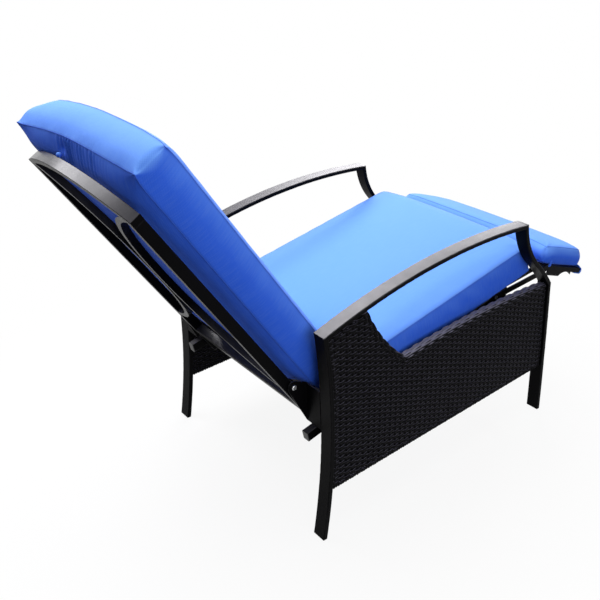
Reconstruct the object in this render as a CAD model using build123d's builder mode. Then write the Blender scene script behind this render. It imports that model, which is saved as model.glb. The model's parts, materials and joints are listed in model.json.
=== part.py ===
from build123d import *
import os
from math import cos, hypot, radians, sin, sqrt

# A reclining garden armchair, shown leaned back with its footrest raised.
# Millimetres, +Z up, the sitter faces -Y. The origin is on the floor, under the
# middle of the chair. Left and right are the sitter's, and right is at -X.
os.makedirs("parts", exist_ok=True)

# Whole chair
overall_width = 665
leg_depth = 828
arm_height = 635
overrun = 40

# Flat tube of the side frames
tube_width = 38
tube_depth = 12
tube_wall = 1.5
tube_edge = 2

# Side frame outline, as shares of the leg depth and the arm height
rear_foot_share = (0.4952, 0)
rear_waist_share = (0.4662, 0.4252)
rear_corner_share = (0.4891, 0.8614)
arm_crown_share = (0.0688, 0.9827)
front_corner_share = (-0.3345, 0.9874)
post_bend_share = (-0.3611, 0.8709)
post_middle_share = (-0.4118, 0.7811)
post_knee_share = (-0.4565, 0.7276)
post_foot_share = (-0.4891, 0.6614)
front_bow_share = (-0.4994, 0.3465)
front_foot_share = (-0.5048, 0)

# Foot plugs
plug_depth = 22
plug_fit = 0.2

# Woven side panels, a pouch of flat strand over a tube frame
panel_thickness = 27
panel_inset = 5
weave_skin = 2.5
panel_tube = 18
panel_tube_wall = 1.5
panel_fit = 0.5
panel_round = 12
panel_rear_foot_share = (0.55, 0.197)
panel_front_foot_share = (-0.55, 0.236)
panel_front_top_share = (-0.55, 0.645)
panel_rise_share = (-0.145, 0.6575)
panel_dip_share = (0.180, 0.6205)
panel_sweep_share = (0.2681, 0.7480)
panel_peak_share = (0.3321, 0.8945)
panel_top_share = (0.3400, 1.05)
panel_rear_top_share = (0.55, 1.05)

# Base cross tubes under the seat
base_tube = 25
base_tube_wall = 1.5
base_rear_share = (0.235, 0.2346)
base_front_share = (-0.345, 0.2575)

# Back frame, leaning from its lower pivot to its arched top
back_lean = 56.5
back_top_depth = 770
back_top_height = 878
back_side_gap = 54.5
back_rail_length = 765
rail_width = 20
back_rail_depth = 25
rail_wall = 1.5
rail_edge = 2
top_arch = 52
top_rail_height = 16
lower_rail_height = 25
lower_rail_drop = 690
curved_bar_depth = 16
curved_bar_height = 14
curved_bar_gap = 24
curved_bar_middle = 290
curved_bar_reach = 290.6

# Recline pivots between the rear legs and the back
recline_depth = 424
recline_height = 391
pin_radius = 3
pivot_clearance = 0.05
washer_thickness = 3.5
washer_radius = 9
plate_thickness = 3
bracket_ear = 15
bracket_top_rise = 388
bracket_foot_rise = 285
bolt_head_radius = 6
bolt_head_height = 4.5
nut_height = 5

# Seat frame
seat_pivot_run = 745
seat_pivot_height = 12.5
seat_slope = 12.3
seat_spacer = 6
seat_rail_depth = 25
seat_rail_front = 660
seat_rail_rear = 51
cap_length = 8
cap_flange = 2
front_rail_run = 570
rear_rail_run = 66
cross_rail_width = 25
slat_width = 30
slat_thickness = 3
slat_count = 4
spacer_radius = 6

# Hangers that carry the front of the seat
hanger_top_depth = 21
hanger_top_height = 381
hanger_foot_depth = 83
hanger_foot_height = 245
hanger_width = 22
hanger_side_gap = 4
hanger_play = 0.5
lug_width = 30
bracket_plate_width = 44
bracket_plate_height = 34
open_clearance = 0.6

# Footrest linkage
front_link_seat_depth = 282
rear_link_seat_depth = 242
link_seat_height = 405
front_link_foot_depth = 478
front_link_foot_height = 422
rear_link_foot_depth = 444
rear_link_foot_height = 416
link_width = 16
link_gap = 0.5
hinge_plate_edge = 9

# Footrest frame
footrest_bend_depth = 479
footrest_bend_height = 418.5
footrest_droop = 20
footrest_rail_length = 181
footrest_rail_height = 14
footrest_head = 9
footrest_bar_width = 20
footrest_front_bar = 168
footrest_rear_bar = 30
footplate_front = 126
footplate_peak = 100
footplate_hollow = 64
footplate_drop = 22

# Cushions
back_cushion_side_gap = 39.5
back_cushion_length = 668
back_cushion_top = 68
back_cushion_seam = 56
back_cushion_thickness = 81
back_cushion_crown = 27
seat_cushion_side_gap = 7.5
seat_cushion_length = 580
seat_cushion_thickness = 80
seat_cushion_slope = 10.9
seat_cushion_front_depth = 345
seat_cushion_front_height = 530.5
seat_cushion_crown = 44
footrest_cushion_side_gap = 10.5
footrest_cushion_length = 187
footrest_cushion_thickness = 50
footrest_cushion_slope = 19.5
footrest_cushion_set_back = 33
footrest_cushion_lift = 83.5
footrest_cushion_crown = 13
side_bulge = 5
cushion_gap = 0.4
pocket_cloth = 4
pocket_reach = 44
pocket_play = 0.4
pocket_rise = 1
button_radius = 6
button_height = 4.5
button_across = 46
button_drop = 19
button_lift = 6

# Cushion sections from end to end: place along the length, width, thickness and crown
end_thickness_share = 0.66
cushion_shares = (
    (0.0, 0.955, end_thickness_share, 0.42),
    (0.015, 0.98, 0.86, 0.60),
    (0.05, 1.0, 1.0, 0.76),
    (0.14, 0.997, 1.0, 0.90),
    (0.30, 0.989, 1.0, 0.98),
    (0.50, 0.985, 1.0, 1.0),
    (0.70, 0.989, 1.0, 0.98),
    (0.86, 0.997, 1.0, 0.90),
    (0.95, 1.0, 1.0, 0.76),
    (0.985, 0.98, 0.86, 0.60),
    (1.0, 0.955, end_thickness_share, 0.42),
)

# Places worked out from the sizes
half_width = overall_width / 2
leg_inner = half_width - tube_width
panel_outer = half_width - panel_inset
panel_inner = panel_outer - panel_thickness
back_outer = leg_inner - back_side_gap
back_inner = back_outer - rail_width
flange_inner = back_outer + washer_thickness
flange_outer = flange_inner + plate_thickness
seat_inner = back_outer + seat_spacer
seat_outer = seat_inner + rail_width
plate_outer = seat_outer + plate_thickness
hanger_inner = leg_inner - hanger_side_gap
hanger_outer = hanger_inner + plate_thickness
back_cushion_width = 2 * (leg_inner - back_cushion_side_gap)
seat_cushion_width = 2 * (leg_inner - seat_cushion_side_gap)
footrest_cushion_width = 2 * (leg_inner - footrest_cushion_side_gap)
lean = radians(back_lean)
slope = radians(seat_slope)
droop = radians(footrest_droop)
seat_cushion_lean = radians(seat_cushion_slope)
footrest_cushion_lean = radians(footrest_cushion_slope)

# The chair's middle, halfway between the top rail's crest and the pocket's nose
rear_reach = back_top_depth + top_arch * cos(lean)
pocket_half = footrest_rail_height / 2 + pocket_play + pocket_rise + pocket_cloth
pocket_nose = pocket_play + pocket_cloth
nose_radius = (pocket_half**2 + pocket_nose**2) / (2 * pocket_nose)
nose_run = footrest_rail_length + pocket_nose - nose_radius
front_reach = footrest_bend_depth + nose_run * cos(droop) + nose_radius
middle_depth = (rear_reach - front_reach) / 2


def keep(piece, label):
    """Label a finished piece and write it."""
    piece.part.label = label
    export_step(piece.part, f"parts/{label}.step")


def keep_pair(piece, label):
    """Write a right-hand piece and its mirrored left-hand twin."""
    keep(piece, f"right_{label}")
    with BuildPart() as twin:
        mirror(piece.part, about=Plane.YZ)
    keep(twin, f"left_{label}")


def side_plane(across):
    """The plane at a distance across the chair, its first axis to the rear."""
    return Plane(origin=(across, -middle_depth, 0), x_dir=(0, 1, 0), z_dir=(1, 0, 0))


def side_point(share):
    """A point of the side frame from its shares of depth and height."""
    return (share[0] * leg_depth, share[1] * arm_height)


def turned(origin, angle, run, rise):
    """A side point reached by a run and a rise along axes turned by an angle."""
    return (
        origin[0] + run * cos(angle) - rise * sin(angle),
        origin[1] + run * sin(angle) + rise * cos(angle),
    )


def circle_through(first, second, third):
    """Centre and radius of the circle through three points."""
    turn = 2 * ((second[0] - first[0]) * (third[1] - first[1]) - (second[1] - first[1]) * (third[0] - first[0]))
    near = (second[0] - first[0]) ** 2 + (second[1] - first[1]) ** 2
    far = (third[0] - first[0]) ** 2 + (third[1] - first[1]) ** 2
    centre_x = first[0] + (near * (third[1] - first[1]) - far * (second[1] - first[1])) / turn
    centre_y = first[1] + (far * (second[0] - first[0]) - near * (third[0] - first[0])) / turn
    return centre_x, centre_y, hypot(centre_x - first[0], centre_y - first[1])


back_top = (back_top_depth, back_top_height)
recline = (recline_depth, recline_height)
seat_pivot = turned(back_top, lean, -seat_pivot_run, seat_pivot_height)
hanger_top = (hanger_top_depth, hanger_top_height)
hanger_foot = (-hanger_foot_depth, hanger_foot_height)
front_link_seat = (-front_link_seat_depth, link_seat_height)
rear_link_seat = (-rear_link_seat_depth, link_seat_height)
front_link_foot = (-front_link_foot_depth, front_link_foot_height)
rear_link_foot = (-rear_link_foot_depth, rear_link_foot_height)
footrest_bend = (-footrest_bend_depth, footrest_bend_height)


def back_plane(rise):
    """A plane parallel to the back frame, its second axis up along it."""
    origin = turned(back_top, lean, 0, rise)
    normal = (0, -sin(lean), cos(lean))
    return Plane(origin=(0, origin[0] - middle_depth, origin[1]), x_dir=(1, 0, 0), z_dir=normal)


def back_point(run, rise):
    """A side point on the back, by its run from the top and its rise to the sitter."""
    return turned(back_top, lean, run, rise)


def seat_point(run, rise):
    """A side point on the seat, by its run forward from the lower pivot and its rise."""
    return turned(seat_pivot, -slope, -run, rise)


def seat_rise(point):
    """How far a side point stands over the seat rails' top faces."""
    over = (point[0] - seat_pivot[0]) * sin(slope) + (point[1] - seat_pivot[1]) * cos(slope)
    return over - seat_rail_depth / 2


def back_rise(point):
    """How far a side point stands before the curved bars' front faces."""
    over = (point[1] - back_top[1]) * cos(lean) - (point[0] - back_top[0]) * sin(lean)
    return over - curved_bar_depth


def footrest_rise(point):
    """How far a side point stands over the footrest rails' top faces."""
    over = (point[1] - footrest_bend[1]) * cos(droop) - (point[0] - footrest_bend[0]) * sin(droop)
    return over - footrest_rail_height / 2


def footrest_point(run, rise):
    """A side point on the footrest, by its run forward from the bend and its rise."""
    return turned(footrest_bend, droop, -run, rise)


def cylinder(point, radius, inner, outer, mode=Mode.ADD):
    """A round bar across the chair on the right-hand side, between two distances."""
    with BuildSketch(side_plane(-outer)) as disc:
        with Locations(point):
            Circle(radius)
    extrude(disc.sketch, amount=outer - inner, mode=mode)


def bar_between(first, last, width):
    """A flat link outline with round ends about two points."""
    with Locations(first, last):
        Circle(width / 2)
    make_hull()


# Side frame outline, closed below the floor
side_points = [
    side_point(share)
    for share in (
        rear_foot_share,
        rear_waist_share,
        rear_corner_share,
        arm_crown_share,
        front_corner_share,
        post_bend_share,
        post_middle_share,
        post_knee_share,
        post_foot_share,
        front_bow_share,
        front_foot_share,
    )
]
rear_foot, rear_corner = side_points[0], side_points[2]
front_corner, post_foot, front_foot = side_points[4], side_points[8], side_points[10]
with BuildSketch() as hoop:
    with BuildLine():
        for start in (0, 2, 8):
            ThreePointArc(*side_points[start:start + 3])
        upper_bend = ThreePointArc(*side_points[4:7])
        TangentArc(side_points[6], side_points[8], tangent=upper_bend % 1)
        Polyline(front_foot, (front_foot[0], -tube_depth), (rear_foot[0], -tube_depth), rear_foot)
    make_face()


def hoop_inset(amount):
    """The side frame's outline, drawn in evenly."""
    with BuildSketch() as smaller:
        add(hoop.sketch)
        offset(amount=-amount, kind=Kind.INTERSECTION, mode=Mode.REPLACE)
    return smaller.sketch


hoop_inner = hoop_inset(tube_depth)
hoop_bore_outer = hoop_inset(tube_wall)
hoop_bore_inner = hoop_inset(tube_depth - tube_wall)


def mitre_end(corner):
    """The inner corner of the side frame nearest an outer corner."""
    corners = hoop_inner.vertices().sort_by_distance((corner[0], corner[1], 0))
    return (corners[0].X, corners[0].Y)


def beyond(first, last):
    """A point past the last one, on the line from the first."""
    length = hypot(last[0] - first[0], last[1] - first[1])
    return (
        last[0] + (last[0] - first[0]) / length * overrun,
        last[1] + (last[1] - first[1]) / length * overrun,
    )


rear_mitre = mitre_end(rear_corner)
front_mitre = mitre_end(front_corner)
foot_mitre = mitre_end(post_foot)
rear_cut = (beyond(rear_corner, rear_mitre), beyond(rear_mitre, rear_corner))
front_cut = (beyond(front_corner, front_mitre), beyond(front_mitre, front_corner))
foot_cut = (beyond(post_foot, foot_mitre), beyond(foot_mitre, post_foot))
front_far = -leg_depth


def side_tube(region):
    """One mitred length of the flat tube, cut from the side frame by a region."""
    with BuildPart() as tube:
        with BuildSketch(side_plane(-half_width)):
            add(hoop.sketch)
            add(hoop_inner, mode=Mode.SUBTRACT)
            with BuildLine():
                Polyline(*region, close=True)
            make_face(mode=Mode.INTERSECT)
        extrude(amount=tube_width)
        long_edges = tube.edges().filter_by(Axis.X, reverse=True)
        fillet(long_edges.filter_by(lambda edge: edge.length > 2 * tube_depth), tube_edge)
        with BuildSketch(side_plane(-half_width + tube_wall)):
            add(hoop_bore_outer)
            add(hoop_bore_inner, mode=Mode.SUBTRACT)
            with BuildLine():
                Polyline(*region, close=True)
            make_face(mode=Mode.INTERSECT)
        extrude(amount=tube_width - 2 * tube_wall, mode=Mode.SUBTRACT)
    return tube


rear_leg = side_tube((rear_cut[0], rear_cut[1], (leg_depth, rear_cut[1][1]), (leg_depth, 0), (0, 0)))
keep_pair(rear_leg, "rear_leg")

armrest = side_tube((rear_cut[1], rear_cut[0], front_cut[0], front_cut[1], (0, 2 * arm_height)))
keep_pair(armrest, "armrest")

arm_post = side_tube((front_cut[1], front_cut[0], foot_cut[0], foot_cut[1], (front_far, front_cut[1][1])))
keep_pair(arm_post, "arm_post")

front_leg_region = (foot_cut[1], foot_cut[0], (foot_cut[0][0], 0), (front_far, 0), (front_far, foot_cut[1][1]))
front_leg = side_tube(front_leg_region)
keep_pair(front_leg, "front_leg")


# A plastic plug in each leg's open end
with BuildPart() as foot_plugs:
    with BuildSketch(side_plane(-half_width + tube_wall + plug_fit)):
        add(hoop_inset(tube_wall + plug_fit))
        add(hoop_inset(tube_depth - tube_wall - plug_fit), mode=Mode.SUBTRACT)
        with Locations((0, plug_depth / 2)):
            Rectangle(2 * leg_depth, plug_depth, mode=Mode.INTERSECT)
    extrude(amount=tube_width - 2 * tube_wall - 2 * plug_fit)
    mirror(about=Plane.YZ)
keep(foot_plugs, "foot_plugs")

# Woven panel outline, fitted inside the side frame
with BuildSketch() as panel_outline:
    with BuildLine():
        Polyline(
            side_point(panel_front_top_share),
            side_point(panel_front_foot_share),
            side_point(panel_rear_foot_share),
            side_point(panel_rear_top_share),
            side_point(panel_top_share),
            side_point(panel_peak_share),
        )
        ThreePointArc(side_point(panel_peak_share), side_point(panel_sweep_share), side_point(panel_dip_share))
        ThreePointArc(
            side_point(panel_dip_share),
            side_point(panel_rise_share),
            side_point(panel_front_top_share),
        )
    make_face()
    dip_corner = panel_outline.vertices().sort_by_distance((*side_point(panel_dip_share), 0))[0]
    fillet(dip_corner, panel_round)
    add(hoop_inner, mode=Mode.INTERSECT)


def panel_drawn_in(amount):
    """What four copies of the panel's outline, each shifted by an amount, share."""
    with BuildSketch() as smaller:
        add(panel_outline.sketch)
        for place in ((-amount, 0), (amount, 0), (0, -amount), (0, amount)):
            with Locations(place):
                add(panel_outline.sketch, mode=Mode.INTERSECT)
    return smaller.sketch


panel_pocket = panel_drawn_in(weave_skin)
panel_tube_outer = panel_drawn_in(weave_skin + panel_fit)
panel_tube_inner = panel_drawn_in(weave_skin + panel_fit + panel_tube)
base_places = (side_point(base_rear_share), side_point(base_front_share))
panel_tube_face = (panel_inner + panel_outer) / 2 - panel_tube / 2

with BuildPart() as woven_panel:
    with BuildSketch(side_plane(-panel_outer)):
        add(panel_outline.sketch)
    extrude(amount=panel_thickness)
    with BuildSketch(side_plane(-panel_outer + weave_skin)):
        add(panel_pocket)
    extrude(amount=panel_thickness - 2 * weave_skin, mode=Mode.SUBTRACT)
    with BuildSketch(side_plane(-panel_inner - weave_skin)):
        with Locations(*base_places):
            Rectangle(base_tube + 2 * plug_fit, base_tube + 2 * plug_fit)
    extrude(amount=weave_skin, mode=Mode.SUBTRACT)
keep_pair(woven_panel, "woven_panel")

with BuildPart() as panel_frame:
    with BuildSketch(side_plane(-panel_tube_face - panel_tube)):
        add(panel_tube_outer)
        add(panel_tube_inner, mode=Mode.SUBTRACT)
    extrude(amount=panel_tube)
    with BuildSketch(side_plane(-panel_tube_face - panel_tube + panel_tube_wall)):
        add(panel_drawn_in(weave_skin + panel_fit + panel_tube_wall))
        add(panel_drawn_in(weave_skin + panel_fit + panel_tube - panel_tube_wall), mode=Mode.SUBTRACT)
    extrude(amount=panel_tube - 2 * panel_tube_wall, mode=Mode.SUBTRACT)
keep_pair(panel_frame, "panel_frame")


def square_tube(plane, width, height, wall, length, edge):
    """A straight hollow tube with rounded corners, drawn from a plane."""
    with BuildSketch(plane) as section:
        RectangleRounded(width, height, edge)
        Rectangle(width - 2 * wall, height - 2 * wall, mode=Mode.SUBTRACT)
    extrude(section.sketch, amount=length)


for label, place in (("rear_base_tube", base_places[0]), ("front_base_tube", base_places[1])):
    with BuildPart() as base_bar:
        start = Plane(
            origin=(-panel_tube_face, place[0] - middle_depth, place[1]), x_dir=(0, 1, 0), z_dir=(1, 0, 0)
        )
        square_tube(start, base_tube, base_tube, base_tube_wall, 2 * panel_tube_face, rail_edge)
    keep(base_bar, label)

# Recline brackets: a plate on the leg, a web across and an ear at the back rail
leg_arc = circle_through(*side_points[0:3])


def leg_face(height):
    """Depth of the rear leg's rear face at a height."""
    return leg_arc[0] - sqrt(leg_arc[2] ** 2 - (height - leg_arc[1]) ** 2)


web_top = (leg_face(bracket_top_rise), bracket_top_rise)
web_foot = (leg_face(bracket_foot_rise), bracket_foot_rise)
with BuildPart() as recline_bracket:
    with BuildSketch(side_plane(-leg_inner)):
        Polygon(
            web_top,
            (web_top[0] - plate_thickness, web_top[1]),
            (web_foot[0] - plate_thickness, web_foot[1]),
            web_foot,
            align=None,
        )
    extrude(amount=leg_inner - flange_inner)
    with BuildSketch(side_plane(-leg_inner)):
        Polygon(
            web_top,
            (web_top[0] - 2 * tube_depth, web_top[1]),
            (web_foot[0] - 2 * tube_depth, web_foot[1]),
            web_foot,
            align=None,
        )
    extrude(amount=plate_thickness)
    with BuildSketch(side_plane(-flange_outer)):
        with Locations(recline):
            Circle(bracket_ear)
        Polygon(
            web_top,
            (web_top[0] - plate_thickness, web_top[1]),
            (web_foot[0] - plate_thickness, web_foot[1]),
            web_foot,
            align=None,
        )
        make_hull()
    extrude(amount=plate_thickness)
    cylinder(recline, pin_radius + pivot_clearance, flange_inner, flange_outer, Mode.SUBTRACT)
keep_pair(recline_bracket, "recline_bracket")

# Back frame
top_arc = circle_through((-back_outer, 0), (0, top_arch), (back_outer, 0))


def arch_rise(across):
    """Height of the top rail's outer curve above its ends, at a distance across."""
    return top_arc[1] + sqrt(top_arc[2] ** 2 - across ** 2)


with BuildPart() as top_rail:
    with BuildSketch(back_plane(0)):
        with BuildLine():
            ThreePointArc((-back_outer, 0), (0, top_arch), (back_outer, 0))
            Line((back_outer, 0), (back_outer, -top_rail_height))
            ThreePointArc(
                (back_outer, -top_rail_height), (0, top_arch - top_rail_height), (-back_outer, -top_rail_height)
            )
            Line((-back_outer, -top_rail_height), (-back_outer, 0))
        make_face()
    extrude(amount=back_rail_depth)
    long_edges = top_rail.edges().filter_by(lambda edge: edge.length > back_outer)
    chamfer(long_edges, rail_edge / 2)
keep(top_rail, "back_top_rail")

with BuildPart() as back_rail:
    with BuildSketch(back_plane(0)):
        Polygon(
            (-back_outer, -back_rail_length),
            (-back_inner, -back_rail_length),
            (-back_inner, arch_rise(back_inner) - top_rail_height),
            (-back_outer, -top_rail_height),
            align=None,
        )
    extrude(amount=back_rail_depth)
    fillet(back_rail.edges().filter_by(lambda edge: edge.length > back_outer), rail_edge)
    with BuildSketch(back_plane(rail_wall)):
        with Locations((-(back_outer + back_inner) / 2, -back_rail_length / 2)):
            Rectangle(rail_width - 2 * rail_wall, back_rail_length + overrun)
    extrude(amount=back_rail_depth - 2 * rail_wall, mode=Mode.SUBTRACT)
    cylinder(recline, pin_radius + pivot_clearance, back_inner, back_outer, Mode.SUBTRACT)
    cylinder(seat_pivot, pin_radius + pivot_clearance, back_inner, back_outer, Mode.SUBTRACT)
keep_pair(back_rail, "back_rail")

with BuildPart() as back_rail_cap:
    cap_start = back_plane(back_rail_depth / 2)
    with BuildSketch(cap_start.offset(-back_rail_depth / 2 + rail_wall + plug_fit)):
        with Locations((-(back_outer + back_inner) / 2, -back_rail_length + cap_length / 2)):
            Rectangle(rail_width - 2 * rail_wall - 2 * plug_fit, cap_length)
    extrude(amount=back_rail_depth - 2 * rail_wall - 2 * plug_fit)
    with BuildSketch(back_plane(0)):
        with Locations((-(back_outer + back_inner) / 2, -back_rail_length - cap_flange / 2)):
            Rectangle(rail_width, cap_flange)
    extrude(amount=back_rail_depth)
    mirror(about=Plane.YZ)
keep(back_rail_cap, "back_rail_caps")

with BuildPart() as lower_rail:
    lower_start = back_point(-lower_rail_drop + lower_rail_height / 2, back_rail_depth / 2)
    lower_plane = Plane(
        origin=(-back_inner, lower_start[0] - middle_depth, lower_start[1]),
        x_dir=(0, cos(lean), sin(lean)),
        z_dir=(1, 0, 0),
    )
    square_tube(lower_plane, lower_rail_height, back_rail_depth, rail_wall, 2 * back_inner, rail_edge)
keep(lower_rail, "back_lower_rail")

curved_bar_bow = back_inner - curved_bar_gap / 2
curved_bar_radius = (curved_bar_reach**2 + curved_bar_bow**2) / (2 * curved_bar_bow)
curve_centre = curved_bar_gap / 2 + curved_bar_radius
for label, side in (("right_curved_bar", -1), ("left_curved_bar", 1)):
    with BuildPart() as curved_bar:
        with BuildSketch(back_plane(0)):
            with Locations((side * curve_centre, -curved_bar_middle)):
                Circle(curved_bar_radius + curved_bar_height / 2)
                Circle(curved_bar_radius - curved_bar_height / 2, mode=Mode.SUBTRACT)
            with BuildLine():
                Line((-back_inner, -back_rail_length), (back_inner, -back_rail_length))
                Line((back_inner, -back_rail_length), (back_inner, arch_rise(back_inner) - top_rail_height))
                ThreePointArc(
                    (back_inner, arch_rise(back_inner) - top_rail_height),
                    (0, top_arch - top_rail_height),
                    (-back_inner, arch_rise(back_inner) - top_rail_height),
                )
                Line((-back_inner, arch_rise(back_inner) - top_rail_height), (-back_inner, -back_rail_length))
            make_face(mode=Mode.INTERSECT)
        extrude(amount=curved_bar_depth)
    keep(curved_bar, label)

# Pivot hardware of the back
with BuildPart() as recline_bolts:
    cylinder(recline, pin_radius, back_inner - nut_height, flange_outer)
    cylinder(recline, bolt_head_radius, flange_outer, flange_outer + bolt_head_height)
    chamfer(recline_bolts.edges().sort_by(Axis.X)[0], bolt_head_height / 4)
    mirror(about=Plane.YZ)
keep(recline_bolts, "recline_bolts")

with BuildPart() as recline_nuts:
    with BuildSketch(side_plane(-back_inner)):
        with Locations(recline):
            RegularPolygon(bolt_head_radius, 6)
            Circle(pin_radius, mode=Mode.SUBTRACT)
    extrude(amount=nut_height)
    mirror(about=Plane.YZ)
keep(recline_nuts, "recline_nuts")

with BuildPart() as recline_washers:
    cylinder(recline, washer_radius, back_outer, flange_inner)
    cylinder(recline, pin_radius, back_outer, flange_inner, Mode.SUBTRACT)
    mirror(about=Plane.YZ)
keep(recline_washers, "recline_washers")

with BuildPart() as seat_pivot_pins:
    cylinder(seat_pivot, pin_radius, back_inner, seat_outer)
    cylinder(seat_pivot, bolt_head_radius, seat_outer, plate_outer)
    mirror(about=Plane.YZ)
keep(seat_pivot_pins, "seat_pivot_pins")

with BuildPart() as seat_spacers:
    cylinder(seat_pivot, spacer_radius, back_outer, seat_inner)
    cylinder(seat_pivot, pin_radius, back_outer, seat_inner, Mode.SUBTRACT)
    mirror(about=Plane.YZ)
keep(seat_spacers, "seat_spacers")

# Seat frame


def seat_plane(run, across):
    """The plane square to the seat rails at a run, its first axis across."""
    place = seat_point(run, 0)
    return Plane(
        origin=(across, place[0] - middle_depth, place[1]), x_dir=(1, 0, 0), z_dir=(0, -cos(slope), sin(slope))
    )


seat_rail_middle = -(seat_inner + seat_outer) / 2
with BuildPart() as seat_rail:
    square_tube(
        seat_plane(-seat_rail_rear, seat_rail_middle),
        rail_width,
        seat_rail_depth,
        rail_wall,
        seat_rail_front + seat_rail_rear,
        rail_edge,
    )
    cylinder(seat_pivot, pin_radius + pivot_clearance, seat_inner, seat_outer, Mode.SUBTRACT)
    cylinder(front_link_seat, pin_radius, seat_inner, seat_outer, Mode.SUBTRACT)
keep_pair(seat_rail, "seat_rail")

with BuildPart() as seat_rail_caps:
    for run, outward in ((-seat_rail_rear, -1), (seat_rail_front, 1)):
        with BuildSketch(seat_plane(run, seat_rail_middle)):
            RectangleRounded(rail_width, seat_rail_depth, rail_edge)
        extrude(amount=outward * cap_flange)
        with BuildSketch(seat_plane(run, seat_rail_middle)):
            Rectangle(rail_width - 2 * rail_wall - 2 * plug_fit, seat_rail_depth - 2 * rail_wall - 2 * plug_fit)
        extrude(amount=-outward * cap_length)
    mirror(about=Plane.YZ)
keep(seat_rail_caps, "seat_rail_caps")

for label, run in (("seat_front_rail", front_rail_run), ("seat_rear_rail", rear_rail_run)):
    with BuildPart() as cross_rail:
        middle = seat_point(run, 0)
        rail_start = Plane(
            origin=(-seat_inner, middle[0] - middle_depth, middle[1]),
            x_dir=(0, cos(slope), -sin(slope)),
            z_dir=(1, 0, 0),
        )
        square_tube(rail_start, cross_rail_width, seat_rail_depth, rail_wall, 2 * seat_inner, rail_edge)
    keep(cross_rail, label)

slat_pitch = (front_rail_run - rear_rail_run) / (slat_count + 1)
with BuildPart() as seat_slats:
    for slat in range(slat_count):
        run = rear_rail_run + slat_pitch * (slat + 1)
        with BuildSketch(side_plane(-seat_inner)):
            Polygon(
                seat_point(run - slat_width / 2, seat_rail_depth / 2),
                seat_point(run + slat_width / 2, seat_rail_depth / 2),
                seat_point(run + slat_width / 2, seat_rail_depth / 2 - slat_thickness),
                seat_point(run - slat_width / 2, seat_rail_depth / 2 - slat_thickness),
                align=None,
            )
        extrude(amount=2 * seat_inner)
keep(seat_slats, "seat_slats")

# Hangers and what carries them
with BuildPart() as hanger_bracket:
    with BuildSketch(side_plane(-panel_inner)):
        with Locations(hanger_top):
            RectangleRounded(bracket_plate_width, bracket_plate_height, tube_edge)
    extrude(amount=plate_thickness)
    cylinder(hanger_top, washer_radius, hanger_outer + hanger_play, panel_inner - plate_thickness)
    cylinder(hanger_top, pin_radius, hanger_inner - plate_thickness / 2, hanger_outer + hanger_play)
keep_pair(hanger_bracket, "hanger_bracket")

with BuildPart() as hanger:
    with BuildSketch(side_plane(-hanger_outer)):
        bar_between(hanger_top, hanger_foot, hanger_width)
        with Locations(hanger_top):
            Circle(pin_radius + pivot_clearance, mode=Mode.SUBTRACT)
        with Locations(hanger_foot):
            Circle(pin_radius + open_clearance, mode=Mode.SUBTRACT)
    extrude(amount=plate_thickness)
keep_pair(hanger, "hanger")

lug_run = (seat_pivot[0] - hanger_foot[0]) * cos(slope) + (hanger_foot[1] - seat_pivot[1]) * sin(slope)
lug_top = seat_point(lug_run, 0)
with BuildPart() as seat_lug:
    with BuildSketch(side_plane(-plate_outer)):
        bar_between(lug_top, hanger_foot, lug_width)
    extrude(amount=plate_thickness)
    cylinder(hanger_foot, spacer_radius, plate_outer, hanger_inner - hanger_play)
    cylinder(hanger_foot, pin_radius, hanger_inner - hanger_play, hanger_outer + plate_thickness)
keep_pair(seat_lug, "seat_lug")

# Footrest linkage: the front link inside the seat rail, the rear link outside it
with BuildPart() as hinge_plate:
    with BuildSketch(side_plane(-plate_outer)):
        bar_between(front_link_seat, rear_link_seat, 2 * hinge_plate_edge)
        Polygon(
            (rear_link_seat[0] + hinge_plate_edge, rear_link_seat[1]),
            (front_link_seat[0] - hinge_plate_edge, front_link_seat[1]),
            (front_link_seat[0] - hinge_plate_edge, rear_link_seat[1] - seat_rail_depth),
            (rear_link_seat[0] + hinge_plate_edge, rear_link_seat[1] - seat_rail_depth),
            align=None,
        )
    extrude(amount=plate_thickness)
keep_pair(hinge_plate, "hinge_plate")

front_link_inner = seat_inner - link_gap - plate_thickness
front_link_outer = seat_inner - link_gap
rear_link_inner = plate_outer + link_gap
rear_link_outer = rear_link_inner + plate_thickness
with BuildPart() as front_link:
    with BuildSketch(side_plane(-front_link_outer)):
        bar_between(front_link_seat, front_link_foot, link_width)
        with Locations(front_link_seat, front_link_foot):
            Circle(pin_radius + pivot_clearance, mode=Mode.SUBTRACT)
    extrude(amount=plate_thickness)
keep_pair(front_link, "front_link")

with BuildPart() as rear_link:
    with BuildSketch(side_plane(-rear_link_outer)):
        bar_between(rear_link_seat, rear_link_foot, link_width)
        with Locations(rear_link_seat):
            Circle(pin_radius + pivot_clearance, mode=Mode.SUBTRACT)
        with Locations(rear_link_foot):
            Circle(pin_radius + open_clearance, mode=Mode.SUBTRACT)
    extrude(amount=plate_thickness)
keep_pair(rear_link, "rear_link")

with BuildPart() as seat_link_pins:
    cylinder(front_link_seat, pin_radius, front_link_inner - link_gap, seat_outer)
    cylinder(front_link_seat, bolt_head_radius, front_link_inner - plate_thickness, front_link_inner - link_gap)
    cylinder(rear_link_seat, pin_radius, plate_outer, rear_link_outer + link_gap)
    cylinder(rear_link_seat, bolt_head_radius, rear_link_outer + link_gap, rear_link_outer + plate_thickness)
    mirror(about=Plane.YZ)
keep(seat_link_pins, "seat_link_pins")

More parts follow.
